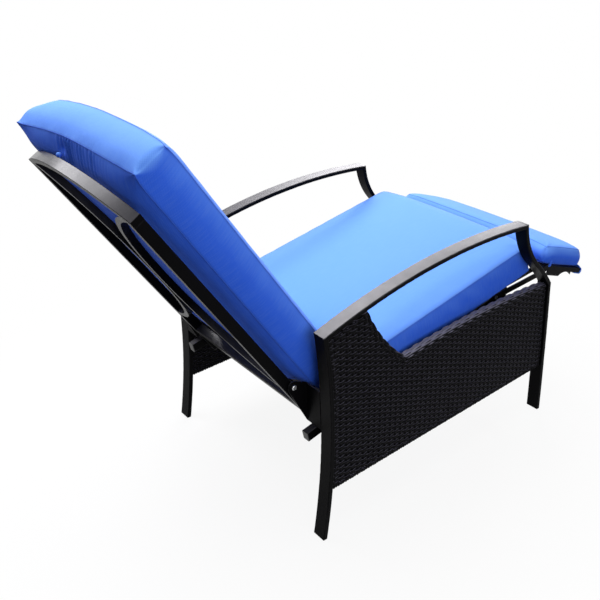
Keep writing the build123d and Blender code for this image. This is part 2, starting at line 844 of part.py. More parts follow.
# Footrest frame
with BuildPart() as footrest_rail:
    with BuildSketch(side_plane(-seat_outer)):
        bar_between(front_link_foot, rear_link_foot, 2 * footrest_head)
        with BuildSketch(mode=Mode.ADD):
            Polygon(
                footrest_point(0, footrest_rail_height / 2),
                footrest_point(0, -footrest_rail_height / 2),
                footrest_point(footrest_rail_length, -footrest_rail_height / 2),
                footrest_point(footrest_rail_length, footrest_rail_height / 2),
                align=None,
            )
    extrude(amount=rail_width)
keep_pair(footrest_rail, "footrest_rail")

for label, run in (("footrest_front_bar", footrest_front_bar), ("footrest_rear_bar", footrest_rear_bar)):
    with BuildPart() as footrest_bar:
        middle = footrest_point(run, 0)
        bar_start = Plane(
            origin=(-seat_inner, middle[0] - middle_depth, middle[1]),
            x_dir=(0, cos(droop), sin(droop)),
            z_dir=(1, 0, 0),
        )
        square_tube(bar_start, footrest_bar_width, footrest_rail_height, rail_wall, 2 * seat_inner, rail_edge)
    keep(footrest_bar, label)

with BuildPart() as footplate:
    with BuildSketch(side_plane(-plate_outer)):
        bar_between(front_link_foot, rear_link_foot, 2 * footrest_head)
        with BuildSketch(mode=Mode.ADD):
            with BuildLine():
                Polyline(
                    footrest_point(footplate_hollow, -footplate_drop),
                    footrest_point(0, -footplate_drop),
                    footrest_point(0, footrest_rail_height / 2),
                    footrest_point(footplate_front, footrest_rail_height / 2),
                    footrest_point(footplate_front, -footrest_rail_height),
                )
                ThreePointArc(
                    footrest_point(footplate_front, -footrest_rail_height),
                    footrest_point(footplate_peak, -footrest_rail_height / 2),
                    footrest_point(footplate_hollow, -footplate_drop),
                )
            make_face()
    extrude(amount=plate_thickness)
keep_pair(footplate, "footrest_plate")

with BuildPart() as footrest_pins:
    cylinder(front_link_foot, pin_radius, front_link_inner - link_gap, seat_inner)
    cylinder(front_link_foot, bolt_head_radius, front_link_inner - plate_thickness, front_link_inner - link_gap)
    cylinder(rear_link_foot, pin_radius, plate_outer, rear_link_outer + link_gap)
    cylinder(rear_link_foot, bolt_head_radius, rear_link_outer + link_gap, rear_link_outer + plate_thickness)
    mirror(about=Plane.YZ)
keep(footrest_pins, "footrest_pins")


def cushion(origin, angle, width, length, thickness, crown, rise_over):
    """A box cushion lofted along its length, its belly sagging onto what carries it."""
    half = width / 2 - side_bulge
    sections = []
    for place, width_share, thickness_share, crown_share in cushion_shares:
        seam = turned(origin, angle, -place * length, 0)
        start = turned(seam, angle, 0, (1 - thickness_share) * thickness / 2)
        belly = (rise_over(seam) - cushion_gap) * crown_share
        plane = Plane(
            origin=(0, start[0] - middle_depth, start[1]),
            x_dir=(1, 0, 0),
            z_dir=(0, -cos(angle), -sin(angle)),
        )
        side = half * width_share
        height = thickness * thickness_share
        with BuildSketch(plane) as section:
            with BuildLine():
                ThreePointArc((-side, 0), (0, -belly), (side, 0))
                ThreePointArc((side, 0), (side + side_bulge, height / 2), (side, height))
                ThreePointArc((side, height), (0, height + crown * crown_share), (-side, height))
                ThreePointArc((-side, height), (-side - side_bulge, height / 2), (-side, 0))
            make_face()
        sections.append(section.sketch)
    loft(sections, ruled=True)


with BuildPart() as back_cushion:
    cushion(
        back_point(back_cushion_top, back_cushion_seam),
        lean,
        back_cushion_width,
        back_cushion_length,
        back_cushion_thickness,
        back_cushion_crown,
        back_rise,
    )
keep(back_cushion, "back_cushion")

# The sewn button on the back cushion's rear panel
with BuildPart() as back_button:
    with BuildSketch(back_plane(back_rail_depth + button_lift)):
        with Locations((button_across, back_cushion_top - button_drop)):
            Circle(button_radius)
    extrude(amount=-button_height)
    fillet(back_button.faces().sort_by(Axis.Z)[0].edges(), button_height / 2)
keep(back_button, "back_button")

seat_cushion_front = (-seat_cushion_front_depth, seat_cushion_front_height)
with BuildPart() as seat_cushion:
    cushion(
        turned(seat_cushion_front, -seat_cushion_lean, seat_cushion_length, -seat_cushion_thickness),
        -seat_cushion_lean,
        seat_cushion_width,
        seat_cushion_length,
        seat_cushion_thickness,
        seat_cushion_crown,
        seat_rise,
    )
keep(seat_cushion, "seat_cushion")

footrest_cushion_rear = (footrest_bend[0] + footrest_cushion_set_back, footrest_bend[1] + footrest_cushion_lift)
footrest_cushion_foot = turned(footrest_cushion_rear, footrest_cushion_lean, 0, -footrest_cushion_thickness)
with BuildPart() as footrest_cushion:
    cushion(
        footrest_cushion_foot,
        footrest_cushion_lean,
        footrest_cushion_width,
        footrest_cushion_length,
        footrest_cushion_thickness,
        footrest_cushion_crown,
        footrest_rise,
    )
keep(footrest_cushion, "footrest_cushion")

# The footrest cushion's pocket, pulled over the front of the footrest's frame
pocket_lift = (1 - end_thickness_share) * footrest_cushion_thickness / 2
pocket_seam = turned(
    footrest_cushion_foot, footrest_cushion_lean, -footrest_cushion_length - cushion_gap, pocket_lift
)
pocket_lip = turned(pocket_seam, footrest_cushion_lean, 0, pocket_cloth)
pocket_inner = pocket_half - pocket_cloth
with BuildPart() as footrest_pocket:
    with BuildSketch(side_plane(-footrest_cushion_width / 2 + side_bulge)):
        with BuildLine():
            Line(pocket_seam, pocket_lip)
            Line(pocket_lip, footrest_point(footrest_rail_length, pocket_half))
            ThreePointArc(
                footrest_point(footrest_rail_length, pocket_half),
                footrest_point(footrest_rail_length + pocket_nose, 0),
                footrest_point(footrest_rail_length, -pocket_half),
            )
            Polyline(
                footrest_point(footrest_rail_length, -pocket_half),
                footrest_point(footrest_rail_length - pocket_reach, -pocket_half),
                footrest_point(footrest_rail_length - pocket_reach, -pocket_inner),
                footrest_point(footrest_rail_length, -pocket_inner),
            )
            ThreePointArc(
                footrest_point(footrest_rail_length, -pocket_inner),
                footrest_point(footrest_rail_length + pocket_play, 0),
                footrest_point(footrest_rail_length, pocket_inner),
            )
            Line(footrest_point(footrest_rail_length, pocket_inner), pocket_seam)
        make_face()
    extrude(amount=footrest_cushion_width - 2 * side_bulge)
keep(footrest_pocket, "footrest_pocket")
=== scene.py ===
import json
import math
import bpy
import bmesh
import numpy as np
from mathutils import Matrix, Vector


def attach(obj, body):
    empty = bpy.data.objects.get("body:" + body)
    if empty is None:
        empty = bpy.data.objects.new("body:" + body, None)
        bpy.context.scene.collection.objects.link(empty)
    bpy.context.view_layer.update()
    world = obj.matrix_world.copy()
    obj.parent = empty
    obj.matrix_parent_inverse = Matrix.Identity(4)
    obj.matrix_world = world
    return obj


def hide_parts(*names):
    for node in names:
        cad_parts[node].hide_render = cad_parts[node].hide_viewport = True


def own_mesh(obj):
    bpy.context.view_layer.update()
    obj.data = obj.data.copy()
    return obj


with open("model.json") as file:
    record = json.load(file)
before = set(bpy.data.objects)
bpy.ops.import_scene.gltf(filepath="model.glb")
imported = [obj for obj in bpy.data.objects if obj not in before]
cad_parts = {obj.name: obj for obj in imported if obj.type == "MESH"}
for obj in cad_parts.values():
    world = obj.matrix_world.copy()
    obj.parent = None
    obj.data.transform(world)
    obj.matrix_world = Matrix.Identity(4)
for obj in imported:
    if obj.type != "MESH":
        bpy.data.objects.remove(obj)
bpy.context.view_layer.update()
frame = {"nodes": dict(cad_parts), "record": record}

scene = bpy.context.scene
scene.view_settings.view_transform = "Standard"

# Measured places below are in millimetres: depth, growing to the rear, and height over the floor;
# "middle" is the depth at which the row frame has its origin
chair = {"middle": 72.14765, "legDepth": 828.0, "armHeight": 635.0, "tube": 12.0}


def rowFrame(across, depth, height):
    # measured millimetres to metres in the row frame
    return np.stack(np.broadcast_arrays(across, depth - chair["middle"], height), axis=-1) / 1000.0


# Shader maths
class Field:
    # a number on a surface; operators on it add Math nodes
    def __init__(self, finish, socket):
        self.finish, self.socket = finish, socket

    def maths(self, operation, *others):
        return self.finish.node("ShaderNodeMath", {"operation": operation}, dict(enumerate((self,) + others)))

    def __add__(self, other):
        return self.maths("ADD", other)

    def __sub__(self, other):
        return self.maths("SUBTRACT", other)

    def __rsub__(self, other):
        return self.maths("MULTIPLY", -1.0).maths("ADD", other)

    def __mul__(self, other):
        return self.maths("MULTIPLY", other)

    __radd__, __rmul__ = __add__, __mul__

    def clamped(self, low, high):
        return self.finish.node(
            "ShaderNodeMapRange", {"clamp": True}, {"Value": self, "From Min": low, "From Max": high}
        )


class Finish:
    # one material and the nodes that make it
    def __init__(self, name):
        self.material = bpy.data.materials.new(name)
        self.material.use_nodes = True
        self.tree = self.material.node_tree
        self.tree.nodes.clear()
        self.coords = self.node("ShaderNodeTexCoord", output="Object")

    def node(self, kind, settings=None, inputs=None, output=0):
        made = self.tree.nodes.new(kind)
        for key, value in (settings or {}).items():
            if key == "stops":
                for index, (place, colour) in enumerate(value):
                    stop = made.color_ramp.elements[index] if index < 2 else made.color_ramp.elements.new(place)
                    stop.position, stop.color = place, (*colour, 1.0)
            else:
                setattr(made, key, value)
        for key, value in (inputs or {}).items():
            if isinstance(value, Field):
                self.tree.links.new(value.socket, made.inputs[key])
            else:
                made.inputs[key].default_value = value
        return Field(self, made.outputs[output]) if made.outputs else None

    def noise(self, scale, detail=3.0, rough=0.5, coords=None, stretch=(1.0, 1.0, 1.0)):
        source = coords or self.coords
        if stretch != (1.0, 1.0, 1.0):
            source = self.node("ShaderNodeMapping", None, {"Vector": source, "Scale": stretch})
        return self.node(
            "ShaderNodeTexNoise", None, {"Vector": source, "Scale": scale, "Detail": detail, "Roughness": rough}
        )

    def blend(self, share, first, second):
        colours = [(*c, 1.0) if isinstance(c, tuple) else c for c in (first, second)]
        return self.node("ShaderNodeMix", {"data_type": "RGBA"}, {0: share, 6: colours[0], 7: colours[1]}, output=2)

    def bump(self, height, strength, distance, normal=None):
        inputs = {"Height": height, "Strength": strength, "Distance": distance}
        if normal:
            inputs["Normal"] = normal
        return self.node("ShaderNodeBump", None, inputs)

    def edges(self, radius):
        # how far a rounded normal leaves the true one: 0 on flats, 1 on sharp edges
        soft = self.node("ShaderNodeBevel", {"samples": 4}, {"Radius": radius})
        true = self.node("ShaderNodeNewGeometry", output="Normal")
        dot = self.node("ShaderNodeVectorMath", {"operation": "DOT_PRODUCT"}, {0: soft, 1: true}, output="Value")
        return (1.0 - dot).clamped(0.01, 0.16)

    def facingUp(self):
        # 1 where the surface faces up, 0 where it is upright, -1 underneath
        normal = self.node("ShaderNodeNewGeometry", output="Normal")
        return self.node("ShaderNodeSeparateXYZ", None, {0: normal}, 2)

    def surface(self, **sockets):
        # the shader itself; a socket name is written with underscores for spaces
        inputs = {key.replace("_", " "): value for key, value in sockets.items()}
        if isinstance(inputs.get("Base Color"), tuple):
            inputs["Base Color"] = (*inputs["Base Color"], 1.0)
        shader = self.node("ShaderNodeBsdfPrincipled", None, inputs)
        self.node("ShaderNodeOutputMaterial", None, {"Surface": shader})
        return self.material


# Finishes
fabricLook = {
    "deep": (0.036, 0.148, 0.90), "paintedLight": (0.146, 0.350, 0.97), "dust": (0.30, 0.50, 0.92),
    "seamShade": (0.006, 0.018, 0.16), "threadsPerMetre": 1500.0, "roughness": 0.78,
}


def wovenFabric(name, look):
    # lighter where it faces up, which is painted light on the upper faces, a plain weave on the cloth's own map, soft
    # mottling and a little rubbed dust, and darker along the seams, which is painted shade
    finish = Finish(name)
    cloth = finish.node("ShaderNodeUVMap", {"uv_map": "cloth"})
    parts = finish.node("ShaderNodeSeparateXYZ", None, {0: cloth})
    across = Field(finish, parts.socket.node.outputs[0])
    along = Field(finish, parts.socket.node.outputs[1])
    threads = (across * look["threadsPerMetre"]).maths("SINE") * (along * look["threadsPerMetre"]).maths("SINE")
    facing = finish.facingUp()
    mottle = finish.noise(9.0, 4.0, 0.6)
    # painted light: the cloth is mixed towards a lighter, paler blue where it faces up
    paintedLightShare = (facing + mottle * 0.12).clamped(0.05, 0.80)
    slub = finish.noise(420.0, 2.0, 0.5, cloth, (1.0, 0.06, 1.0))
    colour = finish.blend(paintedLightShare, look["deep"], look["paintedLight"])
    colour = finish.blend((slub - 0.42).clamped(0.0, 0.4) * 0.10, colour, look["dust"])
    # painted shade: the cloth is darkened to a deep navy along each seam
    seamShade = finish.node("ShaderNodeAttribute", {"attribute_name": "seamShade"}, output="Fac")
    colour = finish.blend(seamShade, colour, look["seamShade"])
    creases = finish.noise(26.0, 3.0, 0.55)
    bump = finish.bump(threads, 0.25, 0.0003)
    bump = finish.bump(creases, 0.18, 0.004, bump)
    return finish.surface(
        Base_Color=colour, Roughness=(mottle * 0.12 + (look["roughness"] - 0.06)), Normal=bump,
        Sheen_Weight=0.05, Sheen_Roughness=0.45, Specular_IOR_Level=0.12,
    )


def seamThread(name, colour):
    # a sewn welt, darker than the cloth as painted shade in the seam's crease, twisted along its length
    finish = Finish(name)
    twist = finish.noise(600.0, 2.0, 0.5)
    shade = finish.blend(twist, colour, tuple(c * 1.6 for c in colour))
    return finish.surface(Base_Color=shade, Roughness=0.85, Normal=finish.bump(twist, 0.4, 0.0004))


def powderCoat(name, colour, wearAndGlint, paintedTopHighlight):
    # fine sand texture, rubbed lighter and smoother along the edges, and lighter where it faces up: a painted highlight
    # for the sky's reflection on the upper faces
    finish = Finish(name)
    grain = finish.noise(900.0, 2.0, 0.6)
    coarse = grain * 0.5 + finish.noise(330.0, 2.0, 0.5)
    broad = finish.noise(14.0, 4.0, 0.6)
    wear = finish.edges(0.0012) * (finish.noise(70.0, 3.0, 0.6)).clamped(0.38, 0.66)
    base = finish.blend((broad - 0.4).clamped(0.0, 0.4) * 0.35, colour, tuple(c * 1.9 for c in colour))
    base = finish.blend(wear * 0.6, base, wearAndGlint)
    facing = finish.facingUp()
    streaks = finish.noise(34.0, 4.0, 0.6, None, (1.0, 1.0, 0.3))
    # painted highlight: upper faces are mixed towards a light grey in streaks, standing in for a reflection
    upper = facing.clamped(0.25, 0.85) * (streaks * 0.5 + 0.52)
    base = finish.blend(upper, base, paintedTopHighlight)
    rough = (grain * 0.10 + broad * 0.10 + 0.22) - wear * 0.10
    return finish.surface(
        Base_Color=base, Roughness=rough, Normal=finish.bump(coarse, 0.60, 0.0006), Specular_IOR_Level=0.02,
        Coat_Weight=upper, Coat_Roughness=0.24,
    )


def flatStrand(name, colour):
    # extruded polyethylene strand: fine ribs along it, each strand a little different, small painted glints in random
    # spots, and a painted highlight with a clear coat where it faces up
    finish = Finish(name)
    map2 = finish.node("ShaderNodeUVMap", {"uv_map": "strand"})
    ribs = finish.noise(1.0, 2.0, 0.5, map2, (6.0, 900.0, 1.0))
    vary = finish.noise(24.0, 3.0, 0.6)
    base = finish.blend(vary, colour, tuple(c * 2.1 for c in colour))
    # painted glints: small random spots mixed towards a light lavender grey
    wearAndGlint = finish.noise(95.0, 3.0, 0.6).clamped(0.60, 0.72)
    base = finish.blend(wearAndGlint * 0.55, base, (0.040, 0.038, 0.056))
    facing = finish.facingUp()
    # painted highlight: strands are mixed towards a light lavender grey where they face up
    upper = facing.clamped(0.50, 0.92)
    base = finish.blend(upper * 0.9, base, (0.120, 0.115, 0.165))
    return finish.surface(
        Base_Color=base, Roughness=(vary * 0.22 + 0.26) - wearAndGlint * 0.08, Normal=finish.bump(ribs, 0.35, 0.0005),
        Specular_IOR_Level=0.02, Coat_Weight=upper * (vary * 0.9 + 0.2), Coat_Roughness=0.26,
    )


def mouldedPlastic(name, colour):
    # injection-moulded cap: fine grain and scuffed edges
    finish = Finish(name)
    grain = finish.noise(1300.0, 2.0, 0.5)
    scuff = finish.edges(0.0008) * finish.noise(120.0, 3.0, 0.6)
    base = finish.blend(scuff * 0.5, colour, (0.07, 0.07, 0.075))
    return finish.surface(Base_Color=base, Roughness=grain * 0.12 + 0.44, Normal=finish.bump(grain, 0.3, 0.0002))


def zincPlate(name):
    # bright zinc on the bolts and pins: turned rings, dulled and spotted by weather
    finish = Finish(name)
    brushed = finish.noise(500.0, 3.0, 0.6, None, (8.0, 1.0, 1.0))
    spots = finish.noise(260.0, 4.0, 0.65).clamped(0.56, 0.72)
    base = finish.blend(brushed, (0.56, 0.57, 0.60), (0.78, 0.79, 0.81))
    base = finish.blend(spots * 0.5, base, (0.32, 0.27, 0.22))
    return finish.surface(
        Base_Color=base, Metallic=1.0 - spots * 0.4, Roughness=brushed * 0.18 + 0.20,
        Normal=finish.bump(brushed, 0.2, 0.0002),
    )


finishes = {
    "blue_fabric": wovenFabric("cushionFabric", fabricLook),
    "black_frame": powderCoat(
        "framePowderCoat", (0.0030, 0.0029, 0.0034), (0.05, 0.05, 0.06), (0.052, 0.050, 0.060)
    ),
    "black_wicker": flatStrand("wickerStrand", (0.0026, 0.0025, 0.0030)),
    "black_plastic": mouldedPlastic("capPlastic", (0.012, 0.012, 0.013)),
    "zinc_hardware": zincPlate("hardwareZinc"),
}
# the welt's colour is darker than the cloth: painted shade in the seam's crease
seamFinish = seamThread("cushionSeam", (0.022, 0.085, 0.50))

for part in frame["record"]["subparts"]:
    node = frame["nodes"][part["node"]]
    node.data.materials.clear()
    node.data.materials.append(finishes[part["material_slot"]])
print("finishes on", len(frame["nodes"]), "nodes")


# Meshes
def gridFaces(rows, columns, loop=False):
    # quads of a grid of points, row after row; a looped grid joins its last column to its first
    row, column = np.mgrid[0:rows - 1, 0:columns if loop else columns - 1]
    following = (column + 1) % columns
    corners = (row * columns + column, row * columns + following,
               (row + 1) * columns + following, (row + 1) * columns + column)
    return np.stack(corners, axis=-1).reshape(-1, 4)


class Gathered:
    # grids of points with their faces and maps, gathered into one mesh
    def __init__(self):
        self.points, self.faces, self.maps, self.count = [], [], [], 0

    def add(self, grid, faces, uv=None):
        self.points.append(grid.reshape(-1, 3))
        self.faces.append(faces + self.count)
        if uv is not None:
            self.maps.append(uv.reshape(-1, 2))
        self.count += len(self.points[-1])

    def arrays(self):
        return [np.concatenate(rows) for rows in (self.points, self.faces, self.maps) if rows]


def vertexNumbers(items, key, each=1):
    # the vertex numbers of a mesh's loops, or of its edges with two each
    numbers = np.empty(len(items) * each, dtype=np.int32)
    items.foreach_get(key, numbers)
    return numbers


def signedPower(values, power):
    # |value|^power with the value's own sign
    return np.sign(values) * np.abs(values) ** power


def addPiece(name, points, faces, material, body, slot, maps=None, smooth=True):
    # a mesh at the origin from arrays of points and quads, riding on its body
    mesh = bpy.data.meshes.new(name)
    mesh.from_pydata(points.reshape(-1, 3).tolist(), [], faces.tolist())
    for mapName, values in (maps or {}).items():
        layer = mesh.uv_layers.new(name=mapName)
        loops = vertexNumbers(mesh.loops, "vertex_index")
        layer.data.foreach_set("uv", values.reshape(-1, 2)[loops].ravel().astype(np.float32))
    mesh.polygons.foreach_set("use_smooth", np.full(len(mesh.polygons), smooth))
    mesh.materials.append(material)
    mesh.update()
    piece = bpy.data.objects.new(name, mesh)
    scene.collection.objects.link(piece)
    outward(mesh)
    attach(piece, body)
    return piece


def outward(mesh):
    # doubles merged and every face turned to point out
    shell = bmesh.new()
    shell.from_mesh(mesh)
    bmesh.ops.remove_doubles(shell, verts=shell.verts, dist=1e-6)
    bmesh.ops.recalc_face_normals(shell, faces=shell.faces)
    shell.to_mesh(mesh)
    shell.free()


def sweep(centre, sideways, upward, across, up):
    # a closed section carried along a path: each path point plus section offsets along its own two axes
    return (centre[:, None, :] + sideways[:, None, :] * across[..., None] + upward[:, None, :] * up[..., None])


def cappedTube(points):
    # faces of a looped grid of path x section, with a fan of quads closing each end
    rows, columns = points.shape[:2]
    faces = gridFaces(rows, columns, True)
    half = columns // 2
    step = np.arange(half - 1)
    cap = np.stack([step, step + 1, columns - 2 - step, columns - 1 - step], axis=-1)
    return np.concatenate([faces, cap[:, ::-1], cap + (rows - 1) * columns])


# Woven side panels
weave = {
    "outer": 327.5, "inner": 300.5, "rowPitch": 7.3, "strandWidth": 6.9, "strandThick": 1.5, "stakePitch": 17.5,
    "wave": 1.7, "stakeWidth": 6.5, "bandHalf": 11.0,
}
outline = {
    "rearLeg": ((0.4952, 0.0), (0.4662, 0.4252), (0.4891, 0.8614)),
    "frontLeg": ((-0.4891, 0.6614), (-0.4994, 0.3465), (-0.5048, 0.0)),
    "arm": ((0.4891, 0.8614), (0.0688, 0.9827), (-0.3345, 0.9874)),
    "bottom": ((-0.55, 0.236), (0.55, 0.197)),
    "long": ((0.180, 0.6205), (-0.145, 0.6575), (-0.55, 0.645)),
    "sweep": ((0.3321, 0.8945), (0.2681, 0.7480), (0.180, 0.6205)),
    "top": ((0.3321, 0.8945), (0.3400, 1.05)),
}


def measured(shares):
    return np.array(shares) * (chair["legDepth"], chair["armHeight"])


def circleOf(shares):
    # centre and radius of the circle through three points
    (ax, ay), (bx, by), (cx, cy) = measured(shares)
    turn = 2 * ((bx - ax) * (cy - ay) - (by - ay) * (cx - ax))
    near = (bx - ax) ** 2 + (by - ay) ** 2
    far = (cx - ax) ** 2 + (cy - ay) ** 2
    x = ax + (near * (cy - ay) - far * (by - ay)) / turn
    y = ay + (far * (bx - ax) - near * (cx - ax)) / turn
    return x, y, math.hypot(x - ax, y - ay)


def legLine(name, side, inset):
    # depth of a leg's line at a height: the circle's centre plus or minus the chord's half
    x, y, radius = circleOf(outline[name])
    sign = 1.0 if measured(outline[name])[1][0] > x else -1.0
    return lambda z: x + sign * np.sqrt(radius ** 2 - (z - y) ** 2) + side * inset


def archLine(name, inset):
    # height of an arched line at a depth
    x, y, radius = circleOf(outline[name])
    sign = 1.0 if measured(outline[name])[1][1] > y else -1.0
    return lambda d: y + sign * np.sqrt(np.maximum(radius ** 2 - (d - x) ** 2, 0.0)) - inset


rearInner = legLine("rearLeg", -1, chair["tube"])
frontInner = legLine("frontLeg", 1, chair["tube"])
armUnder = archLine("arm", chair["tube"])
longTop = archLine("long", 0.0)
bottomEnds = measured(outline["bottom"])
bottomSlope = (bottomEnds[1][1] - bottomEnds[0][1]) / (bottomEnds[1][0] - bottomEnds[0][0])


def bottomLine(depth):
    return bottomEnds[0][1] + bottomSlope * (depth - bottomEnds[0][0])


def sweepDepth(height):
    # the sweep's depth at a height, up to the arm
    x, y, radius = circleOf(outline["sweep"])
    peak, top = measured(outline["top"])
    sign = 1.0 if measured(outline["sweep"])[1][0] > x else -1.0
    curve = x + sign * np.sqrt(np.maximum(radius ** 2 - (height - y) ** 2, 0.0))
    line = peak[0] + (top[0] - peak[0]) * (height - peak[1]) / (top[1] - peak[1])
    return np.where(height < peak[1], curve, line)


dip = measured(outline["long"])[0]


def insidePanel(depth, height, margin):
    # true inside the panel's outline, drawn in by a margin
    top = np.where(depth < dip[0], longTop(np.minimum(depth, dip[0])), armUnder(depth))
    behindSweep = (height < dip[1]) | (depth > sweepDepth(np.maximum(height, dip[1])) + margin) | (depth < dip[0])
    return (
        (height < top - margin) & (height > bottomLine(depth) + margin * 0.5) & behindSweep
        & (depth > frontInner(height) + margin * 0.6) & (depth < rearInner(height) - margin * 0.6)
    )


def strandSection(width, thick):
    # eight points of a flat strand with rounded edges
    angle = np.arange(8) * math.tau / 8 + math.tau / 16
    across = np.clip(np.cos(angle) * 1.3, -1, 1) * width / 2
    return across, signedPower(np.sin(angle), 0.6) * thick / 2


def stretches(mask):
    # first and last index of each run of true values
    edge = np.flatnonzero(np.diff(np.concatenate([[0], mask.astype(int), [0]])))
    return [(a, b) for a, b in zip(edge[::2], edge[1::2]) if b - a > 3]


def wickerPiece(name, points, faces, uv, finish="black_wicker"):
    return addPiece(name, points, faces, finishes[finish], "root", "black_wicker", {"strand": uv})


def weaveFace(name, side, face, hand):
    # rows of flat strand passing in front of and behind upright stakes: offset = wave * cos(pi * (depth / pitch + row))
    rng = np.random.default_rng(7 if face > 0 else 11)
    outer = side * (weave["outer"] if face > 0 else weave["inner"])
    direction = side * face
    middle = outer - direction * (weave["strandThick"] * 0.5 + weave["wave"] + 0.2)
    step = weave["stakePitch"] / 4
    depths = np.arange(-420, 400, step)
    wide, thick = strandSection(weave["strandWidth"], weave["strandThick"])
    strands = Gathered()
    for row in range(80):
        heights = bottomLine(depths) + weave["rowPitch"] * (row + 0.9)
        heights = heights + np.sin(depths / 61.0 + row * 1.3) * 0.35
        inside = insidePanel(depths, heights, weave["bandHalf"] * 0.8)
        for first, last in stretches(inside):
            d, h = depths[first:last], heights[first:last]
            wave = np.cos(math.pi * (d / weave["stakePitch"] + row)) * weave["wave"] + rng.normal(0, 0.12, len(d))
            tilt = rng.normal(0, 0.05) + 0.10 * np.sin(math.pi * (d / weave["stakePitch"] + row))
            height = h[:, None] + wide[None, :] * np.cos(tilt)[:, None]
            across = middle + direction * (wave[:, None] + thick[None, :] + wide[None, :] * np.sin(tilt)[:, None])
            ring = rowFrame(across, d[:, None] + 0 * height, height)
            uv = np.stack(np.broadcast_arrays(d[:, None] / 100, wide[None, :] / 100 + row * 0.37), axis=-1)
            strands.add(ring, cappedTube(ring), uv)
    wide, thick = strandSection(weave["stakeWidth"], weave["strandThick"])
    for stake in np.arange(-24, 24) * weave["stakePitch"]:
        heights = np.arange(120, 640, 8.0)
        inside = insidePanel(stake + 0 * heights, heights, weave["bandHalf"] * 0.8)
        for first, last in stretches(inside):
            h = heights[first:last]
            across = middle + direction * (thick[None, :] - 0.3) + 0 * h[:, None]
            ring = rowFrame(across, stake + wide[None, :] + 0 * h[:, None], h[:, None] + 0 * across)
            uv = np.stack(np.broadcast_arrays(h[:, None] / 100, wide[None, :] / 100), axis=-1)
            strands.add(ring, cappedTube(ring), uv)
    return wickerPiece(f"{hand}_{name}", *strands.arrays())


def smoothPath(points, step):
    # a path resampled evenly by its length
    points = np.asarray(points, float)
    gap = np.hypot(*np.diff(points, axis=0).T)
    length = np.concatenate([[0], np.cumsum(gap)])
    even = np.linspace(0, length[-1], max(int(length[-1] / step), 4))
    return np.stack([np.interp(even, length, points[:, i]) for i in (0, 1)], axis=-1), even


def borderRing(centre, side, across, up):
    # offsets across the panel and square to the border's path, set round each point of the path
    along = np.gradient(centre, axis=0)
    along /= np.hypot(*along.T)[:, None]
    upright = np.stack([-along[:, 1], along[:, 0]], axis=-1)
    depth = centre[:, None, 0] + upright[:, None, 0] * up
    height = centre[:, None, 1] + upright[:, None, 1] * up
    return rowFrame(side * (weave["outer"] + weave["inner"]) / 2 + across, depth, height)


edgeWrap = {"pitch": 7.3, "slant": 0.1, "half": 8.0, "sunk": 1.4, "rise": 1.9, "square": 0.72}


def wrappedBand(name, path, side, hand):
    # strand wound round the border tube: each wrap's leading edge lies over the one before, so the radius is a sawtooth
    pitch = edgeWrap["pitch"]
    centre, length = smoothPath(path, pitch / 8)
    angle = np.linspace(0, math.tau, 28, endpoint=False)
    phase = length[:, None] / pitch + edgeWrap["slant"] * np.sin(angle)[None, :]
    turn = phase - np.floor(phase)
    lift = edgeWrap["rise"] * np.minimum(turn * 1.15, (1 - turn) * 9) + 0.25 * np.sin(np.floor(phase) * 2.4)
    halfAcross = (weave["outer"] - weave["inner"]) / 2 - edgeWrap["sunk"]
    offAcross = signedPower(np.cos(angle), edgeWrap["square"])[None, :] * (halfAcross + lift)
    offUp = signedPower(np.sin(angle), edgeWrap["square"])[None, :] * (edgeWrap["half"] - edgeWrap["sunk"] + lift)
    ring = borderRing(centre, side, offAcross, offUp)
    uv = np.stack(np.broadcast_arrays(angle[None, :] * 0.2, phase * pitch / 100), axis=-1)
    wickerPiece(f"{hand}_{name}", ring, cappedTube(ring), uv)


band = {"rows": 12, "perRow": 7, "hump": 17.5, "depth": 2.7, "half": 12.5, "raised": 3.5, "square": 0.62}


def panelPaths():
    # centre lines of the border's wrapped tubes, drawn in from the outline
    half = weave["bandHalf"]
    frontDepth = frontInner(longTop(-400.0)) + 2
    long = np.linspace(frontDepth, dip[0] - 10, 60)
    longLine = np.stack([long, longTop(long) - half + band["raised"]], axis=-1)
    rise = np.linspace(dip[1] + 14, armUnder(290.0) - 4, 40)
    sweepLine = np.stack([sweepDepth(rise) + half * 0.94, rise - half * 0.2], axis=-1)
    corner = np.array([(dip[0] + 2, dip[1] - half + 2 + band["raised"] * 0.5)])
    bottom = np.linspace(frontInner(150.0) + 3, rearInner(130.0) - 3, 40)
    rear = np.linspace(bottomLine(385.0) + 10, armUnder(375.0) - 2, 60)
    front = np.linspace(bottomLine(-400.0) + 10, longTop(-390.0) - 14, 40)
    return {
        "panel_top_band": np.concatenate([longLine, corner, sweepLine]),
        "panel_bottom_wrap": np.stack([bottom, bottomLine(bottom) + 7.5], axis=-1),
        "panel_rear_wrap": np.stack([rearInner(rear) - edgeWrap["half"], rear], axis=-1),
        "panel_front_wrap": np.stack([frontInner(front) + edgeWrap["half"], front], axis=-1),
    }


